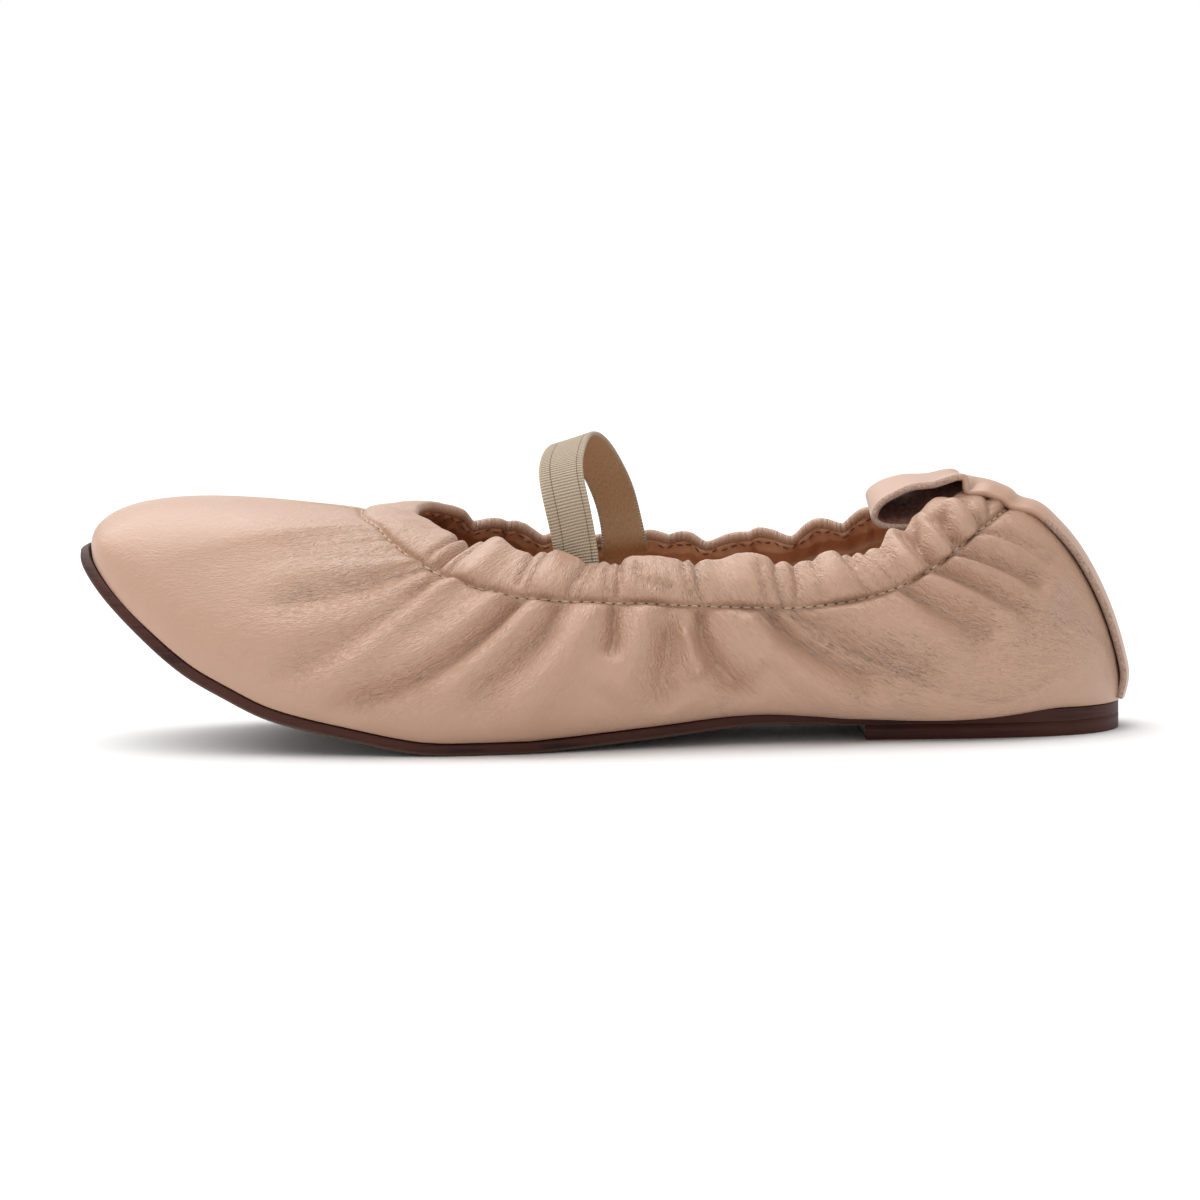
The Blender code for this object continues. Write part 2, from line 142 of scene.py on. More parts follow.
# The outsole: one thin piece of brown sole leather cut to the last's outline, its edge dyed
# and waxed, its lower corner skived off, bent up in a strong toe spring.
LENGTH = 0.2385
HEEL_BACK = 0.1180
BALL_WIDTH = 0.0820
TOE_SPRING = 0.0435
ARCH_RISE = 0.0015
HEEL_LIFT = 0.0032
SOLE_THICKNESS = 0.0027
COLLAR_HEIGHT = 0.0430
BAND_WIDTH = 0.0100
GAP = 0.0003
SOLE_LINE = (
    # share of length, of heel lift, of arch rise, of toe spring
    (0.000, 1.00, 0.00, 0.000),
    (0.255, 1.00, 0.00, 0.000),
    (0.300, 1.00, 0.15, 0.000),
    (0.345, 0.90, 0.55, 0.000),
    (0.376, 0.85, 0.45, 0.000),
    (0.438, 0.50, 0.35, 0.000),
    (0.500, 0.22, 0.25, 0.000),
    (0.545, 0.06, 0.10, 0.000),
    (0.571, 0.00, 0.00, 0.000),
    (0.640, 0.00, 0.00, 0.000),
    (0.665, 0.00, 0.00, 0.007),
    (0.688, 0.00, 0.00, 0.026),
    (0.735, 0.00, 0.00, 0.080),
    (0.785, 0.00, 0.00, 0.142),
    (0.815, 0.00, 0.00, 0.192),
    (0.855, 0.00, 0.00, 0.298),
    (0.888, 0.00, 0.00, 0.398),
    (0.935, 0.00, 0.00, 0.600),
    (0.963, 0.00, 0.00, 0.740),
    (0.983, 0.00, 0.00, 0.862),
    (0.994, 0.00, 0.00, 0.942),
    (1.000, 0.00, 0.00, 1.000),
)
SECTIONS = (
    # along, across, out, up, crown, rim_x, rim_y, rim_z, lean, band, fall
    (0.000, 0.000, 0.05, 0.25, 0.36, 0.145, 0.000, 1.302, 70, 1.12, 8),
    (0.026, -0.190, 0.08, 0.18, 0.36, 0.162, -0.117, 1.233, 57, 1.02, 4),
    (0.091, -0.272, 0.22, -0.10, 0.34, 0.194, -0.201, 1.107, 48, 1.06, -6),
    (0.200, -0.280, 0.26, -0.18, 0.32, 0.255, -0.287, 0.963, 35, 1.04, -12),
    (0.340, -0.317, 0.22, -0.04, 0.28, 0.353, -0.329, 0.949, 31, 1.13, -12),
    (0.460, -0.420, 0.16, 0.02, 0.28, 0.462, -0.341, 0.953, 40, 1.09, -12),
    (0.600, -0.500, 0.14, 0.08, 0.34, 0.558, -0.311, 1.014, 50, 1.40, -6),
    (0.735, -0.457, 0.13, 0.14, 0.48, 0.619, -0.220, 1.077, 64, 1.48, 2),
    (0.850, -0.372, 0.13, 0.18, 0.60, 0.651, -0.134, 1.140, 76, 1.35, 7),
    (0.940, -0.250, 0.18, 0.16, 0.70, 0.665, -0.073, 1.181, 83, 1.26, 10),
    (0.988, -0.115, 0.26, 0.14, 0.76, 0.672, -0.024, 1.200, 88, 1.32, 10),
    (1.000, 0.030, 0.29, 0.13, 0.77, 0.672, 0.024, 1.209, 91, 1.36, 9),
    (0.985, 0.170, 0.26, 0.14, 0.76, 0.672, 0.073, 1.221, 89, 1.31, 10),
    (0.940, 0.280, 0.18, 0.16, 0.70, 0.668, 0.134, 1.233, 81, 1.22, 12),
    (0.850, 0.372, 0.13, 0.18, 0.60, 0.653, 0.207, 1.214, 72, 1.27, 10),
    (0.735, 0.452, 0.13, 0.14, 0.48, 0.621, 0.287, 1.149, 61, 1.30, 4),
    (0.600, 0.440, 0.14, 0.08, 0.36, 0.550, 0.341, 1.065, 46, 1.27, -4),
    (0.460, 0.315, 0.20, 0.02, 0.32, 0.454, 0.348, 1.019, 37, 1.09, -12),
    (0.340, 0.235, 0.26, -0.04, 0.32, 0.349, 0.323, 1.021, 31, 1.09, -12),
    (0.200, 0.268, 0.25, -0.14, 0.34, 0.257, 0.268, 1.100, 34, 1.12, -12),
    (0.091, 0.272, 0.20, -0.06, 0.34, 0.196, 0.195, 1.205, 49, 1.12, -4),
    (0.026, 0.190, 0.08, 0.18, 0.36, 0.160, 0.116, 1.272, 56, 1.02, 4),
)


def unit(vectors):
    return vectors / np.maximum(np.linalg.norm(vectors, axis=-1, keepdims=True), 1e-12)


def chord_knots(points):
    steps = np.linalg.norm(np.diff(points, axis=0), axis=1)
    return np.concatenate([[0.0], np.cumsum(steps)]) / steps.sum()


def run_along(points):
    """How far each point of a line lies from its start, along the line."""
    return np.concatenate([[0], np.cumsum(np.linalg.norm(np.diff(points, axis=0), axis=1))])


def steady_curve(points, at):
    """Cubic through the points, by share of the chord length, that never overshoots them."""
    knots = chord_knots(points)
    step = np.diff(knots)[:, None]
    slope = np.diff(points, axis=0) / step
    before, after = slope[:-1], slope[1:]
    same_way = before * after > 0
    total = np.where(same_way, before + after, 1.0)
    middle = np.where(same_way, 2 * before * after / total, 0.0)
    tangent = np.vstack([slope[:1], middle, slope[-1:]])
    i = np.clip(np.searchsorted(knots, at, side="right") - 1, 0, len(step) - 1)
    t = (at - knots[i])[:, None] / step[i]
    from_point = points[i] * (1 + 2 * t) * (1 - t) ** 2 + points[i + 1] * t * t * (3 - 2 * t)
    from_slope = step[i] * (tangent[i] * t * (1 - t) ** 2 - tangent[i + 1] * t * t * (1 - t))
    return from_point + from_slope


def spline(points, at, closed=False):
    """Smooth cubic through the points, by share of the chord length of its first two columns."""
    ring = np.vstack([points, points[:1]]) if closed else points
    knots = chord_knots(ring[:, :2] if closed else ring)
    step = np.diff(knots)
    slope = np.diff(ring, axis=0) / step[:, None]
    count = len(ring)
    matrix = np.eye(count)
    right = np.zeros_like(ring)
    for i in range(1, count - 1):
        matrix[i, i - 1 : i + 2] = step[i - 1], 2 * (step[i - 1] + step[i]), step[i]
        right[i] = 6 * (slope[i] - slope[i - 1])
    if closed:
        matrix[0, 0], matrix[0, 1] = 2 * (step[-1] + step[0]), step[0]
        matrix[0, -2] = step[-1]
        right[0] = 6 * (slope[0] - slope[-1])
        matrix[-1, 0] = -1
    bend = np.linalg.solve(matrix, right)
    at = at % 1.0 if closed else at
    i = np.clip(np.searchsorted(knots, at, side="right") - 1, 0, count - 2)
    h = step[i][:, None]
    done = (at - knots[i])[:, None]
    left = h - done
    curve = bend[i] * left**3 / (6 * h) + bend[i + 1] * done**3 / (6 * h)
    return curve + (ring[i] / h - bend[i] * h / 6) * left + (ring[i + 1] / h - bend[i + 1] * h / 6) * done


sole_share, on_heel, in_arch, sprung = np.array(SOLE_LINE).T
sole_heights = on_heel * (HEEL_LIFT + GAP) + in_arch * ARCH_RISE + sprung * TOE_SPRING
sole_knots = np.stack([HEEL_BACK - sole_share * LENGTH, sole_heights], axis=1)
sole_course = steady_curve(sole_knots, np.linspace(0, 1, 600))
RUN = run_along(sole_course)
RUN_X, RUN_Z = sole_course.T
UNROLLED = RUN[-1]
FRAME_STEP = 0.0008


def sole_frame(along):
    """The sole's direction towards the toe and the direction square to it, at metres along."""
    before, after = np.clip(along - FRAME_STEP, 0, UNROLLED), np.clip(along + FRAME_STEP, 0, UNROLLED)
    run_x = np.interp(after, RUN, RUN_X) - np.interp(before, RUN, RUN_X)
    run_z = np.interp(after, RUN, RUN_Z) - np.interp(before, RUN, RUN_Z)
    forward = unit(np.stack([run_x, np.zeros_like(run_x), run_z], axis=-1))
    square = np.stack([forward[..., 2], np.zeros_like(run_x), -forward[..., 0]], axis=-1)
    return forward, square


def on_sole(along, across, lift):
    """The point at metres along and across the unrolled sole, lift above its underside."""
    foot = np.stack([np.interp(along, RUN, RUN_X), across, np.interp(along, RUN, RUN_Z)], axis=-1)
    return foot + np.asarray(lift)[..., None] * sole_frame(along)[1]


def round_shoe(u):
    """The table of sections, interpolated smoothly round the shoe, in metres where it says so."""
    scale = np.ones(len(SECTIONS[0]))
    scale[:2] = UNROLLED, BALL_WIDTH
    scale[5:8] = LENGTH, BALL_WIDTH, COLLAR_HEIGHT
    scale[9] = BAND_WIDTH
    return spline(np.array(SECTIONS) * scale, u, True)


def ring_outward(u, columns):
    """Outward direction, in plan, of the closed curve that two columns of the table make."""
    tangent = unit(round_shoe(u + 0.001)[:, columns] - round_shoe(u - 0.001)[:, columns])
    return np.stack([tangent[:, 1], -tangent[:, 0]], axis=1)


def outline(u, inset):
    """The sole's outline on its unrolled plane, moved in by inset."""
    return round_shoe(u)[:, :2] - ring_outward(u, [0, 1]) * inset


def mapped_grid(name, points, uv=None, face_slots=None, fields=None):
    """A grid bent onto rows and columns of points, with its edges that meet merged."""
    rows, columns = points.shape[:2]
    shape = bmesh.new()
    bmesh.ops.create_grid(shape, x_segments=columns - 1, y_segments=rows - 1, size=0.5)
    mesh = bpy.data.meshes.new(name)
    shape.to_mesh(mesh)
    flat = np.empty(len(mesh.vertices) * 3)
    mesh.vertices.foreach_get("co", flat)
    flat = flat.reshape(-1, 3)
    column = np.rint((flat[:, 0] + 0.5) * (columns - 1)).astype(int)
    row = np.rint((flat[:, 1] + 0.5) * (rows - 1)).astype(int)
    mesh.vertices.foreach_set("co", points[row, column].ravel())
    corners = np.empty(len(mesh.loops), int)
    mesh.loops.foreach_get("vertex_index", corners)
    if uv is not None:
        layer = mesh.uv_layers.new(name="surface")
        layer.uv.foreach_set("vector", uv[row[corners], column[corners]].ravel())
    for field, values in (fields or {}).items():
        attribute = mesh.attributes.new(field, "FLOAT", "POINT")
        attribute.data.foreach_set("value", values[row, column].ravel())
    if face_slots is not None:
        first = corners.reshape(-1, 4)
        mesh.polygons.foreach_set("material_index", face_slots[row[first].min(1), column[first].min(1)])
    shape.clear()
    shape.from_mesh(mesh)
    bmesh.ops.remove_doubles(shape, verts=shape.verts, dist=1e-6)
    bmesh.ops.dissolve_degenerate(shape, edges=shape.edges, dist=1e-7)
    if shape.calc_volume(signed=True) < 0:
        bmesh.ops.reverse_faces(shape, faces=shape.faces)
    shape.to_mesh(mesh)
    shape.free()
    mesh.shade_smooth()
    return mesh


def place_piece(name, mesh, materials, slot, *nodes):
    """Puts a finished mesh in the scene as a piece of the shoe."""
    piece = bpy.data.objects.new(name, mesh)
    scene.collection.objects.link(piece)
    for material in materials:
        mesh.materials.append(material)
    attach(piece, "root")
    if nodes:
        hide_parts(*nodes)
    return piece


def smooth_step(low, high, value):
    t = np.clip((value - low) / (high - low), 0, 1)
    return t * t * (3 - 2 * t)


SOLE_STATIONS = 240
SOLE_PROFILE = (
    # share of the way out from the middle, inset of the edge, lift as a share of the thickness
    *((share, 0.0009, 0.00) for share in (0.0, 0.2, 0.4, 0.6, 0.8, 0.95, 1.0)),
    (1.0, 0.0005, 0.10),
    (1.0, 0.0001, 0.26),
    (1.0, 0.0000, 0.36),
    (1.0, 0.0000, 0.60),
    (1.0, 0.0000, 0.88),
    (1.0, 0.0001, 0.97),
    *((share, 0.0004, 1.00) for share in (1.0, 0.9, 0.6, 0.3, 0.0)),
)
BREAST_COLUMNS = 28
TRIM_RUN = 0.012
# The tip is turned out and up a little more, along this much of the sole
TIP_SHIFT = np.array([-0.0006, 0.0, 0.0010])
TIP_LENGTH = 0.016


def sole_disc(name, profile, thickness, base, reach=None, square_until=0.0):
    """A flat piece the shape of the sole, or of its rear up to reach, with a profiled edge."""
    u = np.linspace(0, 1, 4000, endpoint=False)
    flat = outline(u, 0.0)
    foremost = int(np.argmax(flat[:, 0]))
    sides = (flat[: foremost + 1], flat[foremost:][::-1])
    end = flat[:, 0].max() if reach is None else reach
    turn = np.pi if reach is None else np.pi / 2
    along = end * (1 - np.cos(np.linspace(0, turn, SOLE_STATIONS))) / (1 - np.cos(turn))
    across = [np.interp(along, side[:, 0], side[:, 1]) for side in sides]
    ring = np.stack([np.append(along, along[::-1]), np.append(across[0], across[1][::-1])], axis=1)
    middle = np.append(across[0] + across[1], (across[0] + across[1])[::-1]) / 2
    if reach is not None:
        breast = np.linspace(across[0][-1], across[1][-1], BREAST_COLUMNS + 2)[1:-1]
        front = np.stack([np.full_like(breast, end), breast], axis=1)
        ring = np.vstack([ring[:SOLE_STATIONS], front, ring[SOLE_STATIONS:]])
        at_breast = np.full(BREAST_COLUMNS, breast.mean())
        middle = np.concatenate([middle[:SOLE_STATIONS], at_breast, middle[SOLE_STATIONS:]])
    closed = np.vstack([ring[-2], ring, ring[1]])
    tangent = unit(closed[2:] - closed[:-2])
    outward = np.stack([tangent[:, 1], -tangent[:, 0]], axis=1)
    trimmed = smooth_step(square_until, square_until + TRIM_RUN, ring[:, :1])
    rows = []
    for share, inset, lift in profile:
        edge = ring - outward * inset * trimmed
        here = ring[:, 0] + (edge[:, 0] - ring[:, 0]) * share
        side = middle + (edge[:, 1] - middle) * share
        turned = smooth_step(LENGTH - TIP_LENGTH, LENGTH, here)[:, None] * TIP_SHIFT
        rows.append(on_sole(here, side, np.full(len(here), base + lift * thickness)) + turned)
    points = np.array(rows)
    return mapped_grid(name, np.concatenate([points, points[:, :1]], axis=1))


# Sole leather, vegetable tanned, dyed dark brown and waxed: a dull gloss, fine fibre lines in
# its cut edge, and a painted reflection of the white floor: faces turned down are painted paler.
sole_leather, shader = new_material("waxed_sole_leather", {"Roughness": 0.55, "Specular IOR Level": 0.22})
place = add_node(sole_leather, "ShaderNodeTexCoord").outputs["Object"]
fibre = add_node(sole_leather, "ShaderNodeMapping", {"Vector": place, "Scale": (60, 60, 1600)})
layers = add_node(sole_leather, "ShaderNodeTexNoise", {"Vector": fibre, "Scale": 1.0, "Detail": 4.0})
clouds = add_node(sole_leather, "ShaderNodeTexNoise", {"Vector": place, "Scale": 55.0, "Detail": 5.0})
tone = add_node(sole_leather, "ShaderNodeMath", {0: layers, 1: clouds}, operation="ADD")
ramp = add_node(
    sole_leather, "ShaderNodeValToRGB", {"Fac": tone},
    stops=[(0.70, "#28120E"), (1.25, "#46241C")],
)
facing = add_node(sole_leather, "ShaderNodeNewGeometry").outputs["Normal"]
turn = add_node(sole_leather, "ShaderNodeSeparateXYZ", {0: facing})
under = add_node(
    sole_leather, "ShaderNodeMapRange", {"Value": turn.outputs["Z"], 1: -0.35, 2: -0.75, 3: 0.0, 4: 1.0}
)
# Painted reflection: faces turned towards the floor are mixed to a paler grey-brown.
floor_reflection_paint = add_node(
    sole_leather, "ShaderNodeMix", {0: under, 6: ramp, 7: srgb("#5C4A40")}, data_type="RGBA"
)
sole_leather.node_tree.links.new(floor_reflection_paint.outputs[2], shader.inputs["Base Color"])
add_node(
    sole_leather,
    "ShaderNodeBump",
    {"Height": tone, "Distance": 0.00008, "Strength": 0.6},
    shader.inputs["Normal"],
)

LIFT_LENGTH = 0.0600
outsole_mesh = sole_disc("outsole_leather", SOLE_PROFILE, SOLE_THICKNESS, 0.0, square_until=LIFT_LENGTH)
place_piece("outsole_leather", outsole_mesh, [sole_leather], "outsole", "outsole")


# The heel: a low lift of the same leather under the heel seat, its front cut straight across,
# nailed and glued on and trimmed flush with the sole.
LIFT_PROFILE = (
    # share of the way out from the middle, inset of the edge, lift as a share of the thickness
    *((share, 0.0002, 0.00) for share in (0.0, 0.4, 0.8, 1.0)),
    (1.0, 0.0000, 0.08),
    (1.0, 0.0000, 0.50),
    (1.0, 0.0000, 1.00),
    (0.6, 0.0000, 1.00),
    (0.0, 0.0000, 1.00),
)
heel_mesh = sole_disc("heel_lift", LIFT_PROFILE, HEEL_LIFT + GAP, -GAP - HEEL_LIFT, LIFT_LENGTH)
place_piece("heel_lift", heel_mesh, [sole_leather], "heel", "heel")


# The sock: thin tan lining leather glued over the insole board, its edge tucked against the
# lining all round.
SOCK_THICKNESS = 0.0012
SOCK_LIFT = SOLE_THICKNESS + GAP + 0.0018
SOCK_INSET = 0.0011
SOCK_PROFILE = (
    # share of the way out from the middle, inset of the edge, lift as a share of the thickness
    *((share, SOCK_INSET, 0.0) for share in (0.0, 0.5, 1.0)),
    (1.0, SOCK_INSET, 0.9),
    *((share, SOCK_INSET + 0.0003, 1.0) for share in (1.0, 0.9, 0.6, 0.3, 0.0)),
)

# Lining leather, a thin goat or pig skin, vegetable tanned and left undyed: matt, tan, with a
# fine open grain.
lining_leather, shader = new_material("tan_lining_leather", {"Roughness": 0.55})
place = add_node(lining_leather, "ShaderNodeTexCoord").outputs["Object"]
clouds = add_node(lining_leather, "ShaderNodeTexNoise", {"Vector": place, "Scale": 45.0, "Detail": 4.0})
add_node(
    lining_leather, "ShaderNodeValToRGB", {"Fac": clouds}, shader.inputs["Base Color"],
    stops=[(0.35, "#AE7B5A"), (0.68, "#C59672")],
)
pores = add_node(lining_leather, "ShaderNodeTexVoronoi", {"Vector": place, "Scale": 1800.0})
add_node(
    lining_leather,
    "ShaderNodeBump",
    {"Height": pores, "Distance": 0.00006, "Strength": 0.5},
    shader.inputs["Normal"],
)

place_piece(
    "sock",
    sole_disc("sock", SOCK_PROFILE, SOCK_THICKNESS, SOCK_LIFT),
    [lining_leather],
    "insole",
    "insole",
)


# The upper: soft nappa drawn over the last and turned in under the sock. An elastic sewn in a
# folded band along the topline gathers it, and the folds run down from its stitches.
EDGE_REACH = 0.0004
FLANGE = 0.0036
WALL = 0.0016
BAND_WALL = 0.0026
LEATHER = 0.0007
CREASE_DEPTH = 1.95
CREASE_WIDTH = 1.25
BAND_CREASE_DEPTH = 1.55
BAND_CREASE_WIDTH = 1.25
RIM_DIP = 0.9
RIM_WAVES_FROM = 1.45
LASTED_FLAT = 0.10
BAND_SAG = 0.85
BAND_PUFF = 0.0015
BAND_REST = 0.6
GATHER = 0.0024
GATHER_LENGTH = 0.0046
END_PUFF = 1.3
END_PUFF_ACROSS = 0.0130
END_PUFF_LENGTH = 0.0032
END_PUFF_REACH = 0.050
ROUND_COLUMNS = 680
CLOSE_COLUMNS = 2.2
CLOSE_FROM, CLOSE_TO = 0.02, 0.41
GATHERS = (
    # side, share of length from the heel back, share of the gather height
    (-1, 0.188, 1.0),
    (-1, 0.214, 0.9),
    (-1, 0.251, 0.6),
    (-1, 0.284, 0.8),
    (-1, 0.353, 1.0),
    (-1, 0.415, 1.0),
    (-1, 0.468, 1.0),
    (-1, 0.545, 0.5),
    (-1, 0.611, 0.7),
    (1, 0.190, 0.8),
    (1, 0.236, 0.9),
    (1, 0.284, 1.0),
    (1, 0.345, 1.0),
    (1, 0.415, 0.7),
    (1, 0.452, 0.9),
    (1, 0.520, 0.6),
    (1, 0.589, 0.9),
    (1, 0.640, 0.6),
)


def gather_at(x, y):
    """How far a topline point is puffed up, as a share of the gather height."""
    beside_strip = np.exp(-(((abs(y) - END_PUFF_ACROSS) / END_PUFF_LENGTH) ** 2))
    puff = END_PUFF * beside_strip * (x > HEEL_BACK - END_PUFF_REACH)
    for side, share, size in GATHERS:
        away = (x - (HEEL_BACK - share * LENGTH)) / GATHER_LENGTH
        puff += np.where(np.sign(y) == side, size * np.exp(-(away**2)), 0.0)
    return puff


def wall_section(u):
    """The named points of the wall's sections, each an array with a row for each u."""
    flat = outline(u, -EDGE_REACH)
    inner_flat = outline(u, FLANGE - EDGE_REACH)
    outward = ring_outward(u, [0, 1])
    forward, square = sole_frame(flat[:, 0])
    out = outward[:, :1] * forward + outward[:, 1:] * np.array([0.0, 1.0, 0.0])
    out_share, up_share, crown, rim_x, rim_y, rim_z, lean, band, fall = round_shoe(u)[:, 2:].T[:, :, None]
    rim = np.hstack([HEEL_BACK - rim_x, rim_y, rim_z])
    plan = ring_outward(u, [5, 6])
    plan = np.stack([-plan[:, 0], plan[:, 1], np.zeros(len(u))], axis=1)
    upright = np.array([0.0, 0.0, 1.0])
    lean, fall = np.radians(lean), np.radians(lean + fall)
    rise = np.cos(lean) * upright - np.sin(lean) * plan
    arrival = np.cos(fall) * upright - np.sin(fall) * plan
    puff = gather_at(rim[:, 0], rim[:, 1])[:, None]
    seam = rim - rise * band
    base = np.full(len(u), SOLE_THICKNESS + GAP)
    edge = on_sole(flat[:, 0], flat[:, 1], base)
    return {
        "flange": on_sole(inner_flat[:, 0], inner_flat[:, 1], base),
        "edge": edge,
        "leave": edge + (out * out_share + square * up_share) * COLLAR_HEIGHT,
        "arrive": seam - arrival * crown * COLLAR_HEIGHT,
        "seam": seam,
        "rim": rim + rise * puff * GATHER,
        "face": np.sin(lean) * upright + np.cos(lean) * plan,
        "puff": puff,
    }


def wall_row(section, v):
    """The outer face at height v: -1 flange, 0 sole edge, 1 seam, 2 rim."""
    if v < 0:
        return section["edge"] + (section["edge"] - section["flange"]) * v
    if v <= 1:
        handles = section["edge"], section["leave"], section["arrive"], section["seam"]
        shares = (1 - v) ** 3, 3 * v * (1 - v) ** 2, 3 * v * v * (1 - v), v**3
        return sum(share * handle for share, handle in zip(shares, handles))
    w = v - 1
    bulge = BAND_PUFF * np.sin(np.pi * w**BAND_SAG) * (BAND_REST + section["puff"])
    return section["seam"] + (section["rim"] - section["seam"]) * w + section["face"] * bulge


# Main creases, from the seam downwards, in millimetres from the heel back and above the floor
OUTER_CREASES = (
    # depth as a share of the full one (troughs below zero), shares of the width at start and end, points
    (-0.8, 1.2, 3.0, ((154, 38.8), (163, 32.3), (174, 26.0), (185, 20.7), (198, 16.4))),
    (1.0, 2.0, 5.0, ((150, 37.5), (159, 33.0), (168, 25.9), (177, 18.2), (188, 11.5))),
    (0.6, 2.0, 5.0, ((158, 38.5), (168, 33.5), (182, 29.0), (198, 24.5))),
    (-0.6, 1.2, 3.0, ((156, 40.0), (168, 38.0), (182, 35.5), (198, 32.5))),
    (0.5, 1.5, 3.5, ((158, 41.5), (170, 41.0), (184, 40.5), (198, 39.0))),
    (-1.7, 1.3, 2.7, ((137, 34.0), (142, 29.3), (149, 23.9), (160, 18.2), (172, 13.0), (183, 9.0))),
    (0.7, 2.0, 4.0, ((142, 34.5), (149, 29.5), (158, 23.5), (169, 17.0))),
    (1.0, 2.2, 4.5, ((133, 31.6), (140, 25.7), (149, 17.5), (159, 10.5))),
    (-1.1, 1.1, 2.6, ((128, 32.1), (131, 27.3), (137, 21.4), (145, 15.5), (152, 11.5))),
    (1.6, 2.8, 5.0, ((121, 30.0), (126, 23.2), (134, 14.6), (145, 7.5))),
    (-1.5, 1.0, 1.6, ((116, 32.2), (116, 28.6), (116.5, 25.0), (118, 20.5))),
    (1.5, 2.8, 5.0, ((109, 30.5), (110, 27.0), (114, 20.7), (120, 12.1))),
    (-1.6, 2.0, 3.0, ((104, 26.0), (105, 20.0), (105, 14.0), (103, 8.8))),
    (-1.9, 1.0, 3.0, ((97, 31.8), (97, 27.1), (95, 21.2), (90, 14.8), (83, 10.0))),
    (1.1, 1.3, 2.2, ((101, 25.0), (99, 20.4), (97, 15.6))),
    (0.9, 2.6, 4.0, ((90, 30.5), (88, 24.0), (82, 17.0))),
    (1.1, 1.8, 4.0, ((86, 28.0), (81, 22.0), (75, 17.2), (66, 12.0), (58, 9.5))),
    (-1.8, 1.1, 3.2, ((82, 31.4), (78, 25.1), (72, 20.6), (62, 15.6), (52, 12.2))),
    (-1.0, 1.1, 3.6, ((78, 31.3), (72, 26.4), (62, 20.5), (50, 16.5), (40, 12.0))),
    (1.3, 3.0, 6.0, ((68, 31.7), (58, 27.0), (47, 22.2), (36, 16.0))),
    (-1.2, 1.2, 3.4, ((51, 34.4), (45, 30.7), (36, 27.1), (27, 24.2))),
    (1.2, 1.6, 3.6, ((47, 36.0), (39, 32.3), (30, 28.2), (21, 22.0))),
    (-1.4, 1.1, 2.8, ((44, 38.2), (37, 35.4), (29, 31.6), (19, 26.1))),
    (1.2, 1.4, 3.6, ((41, 39.6), (33, 37.2), (24, 32.6), (14, 25.8))),
    (-1.2, 0.9, 2.5, ((38.5, 41.4), (31, 39.4), (24, 36.2), (17, 30.7))),
    (1.0, 1.5, 3.4, ((35, 44.0), (27, 41.6), (19, 36.6), (13, 29.3))),
    (-0.8, 1.0, 2.6, ((34, 46.5), (27, 44.2), (20, 40.2), (14, 34.0))),
)
INNER_CREASES = (
    (-1.0, 1.2, 4.0, ((156, 43.0), (166, 36.0), (178, 28.0), (190, 21.0))),
    (0.9, 2.0, 5.0, ((150, 41.5), (160, 33.0), (172, 23.0), (182, 15.0))),
    (-1.3, 1.2, 3.8, ((142, 39.0), (149, 31.0), (158, 22.0), (168, 13.0))),
    (1.0, 2.2, 4.5, ((134, 37.5), (141, 29.0), (148, 19.0), (156, 10.0))),
    (-1.2, 1.0, 3.0, ((127, 37.0), (131, 29.0), (137, 20.0), (142, 13.0))),
    (0.9, 2.4, 4.6, ((119, 36.0), (123, 27.0), (128, 17.0))),
    (-1.5, 1.0, 3.0, ((110, 36.5), (111, 28.0), (113, 19.0), (113, 12.0))),
    (1.0, 2.6, 4.2, ((102, 35.5), (101, 27.0), (98, 18.0))),
    (-1.4, 1.0, 3.2, ((92, 36.5), (89, 28.0), (82, 20.0), (72, 13.0))),
    (1.2, 2.4, 5.0, ((82, 35.0), (76, 26.5), (66, 18.0), (56, 12.0))),
    (-1.3, 1.1, 3.6, ((71, 37.0), (65, 29.0), (54, 21.0), (42, 15.0))),
    (1.1, 2.4, 5.0, ((62, 37.0), (53, 30.0), (42, 23.0), (32, 17.0))),
    (-1.0, 1.1, 3.4, ((53, 39.5), (44, 34.0), (34, 28.0), (25, 23.0))),
    (0.8, 1.6, 3.6, ((48, 40.5), (39, 36.0), (29, 30.5), (20, 24.0))),
    (-0.9, 1.0, 3.0, ((43, 43.0), (34, 39.5), (25, 34.0), (17, 27.5))),
    (0.9, 1.5, 3.4, ((38, 45.5), (29, 42.0), (20, 36.0), (13, 29.0))),
)
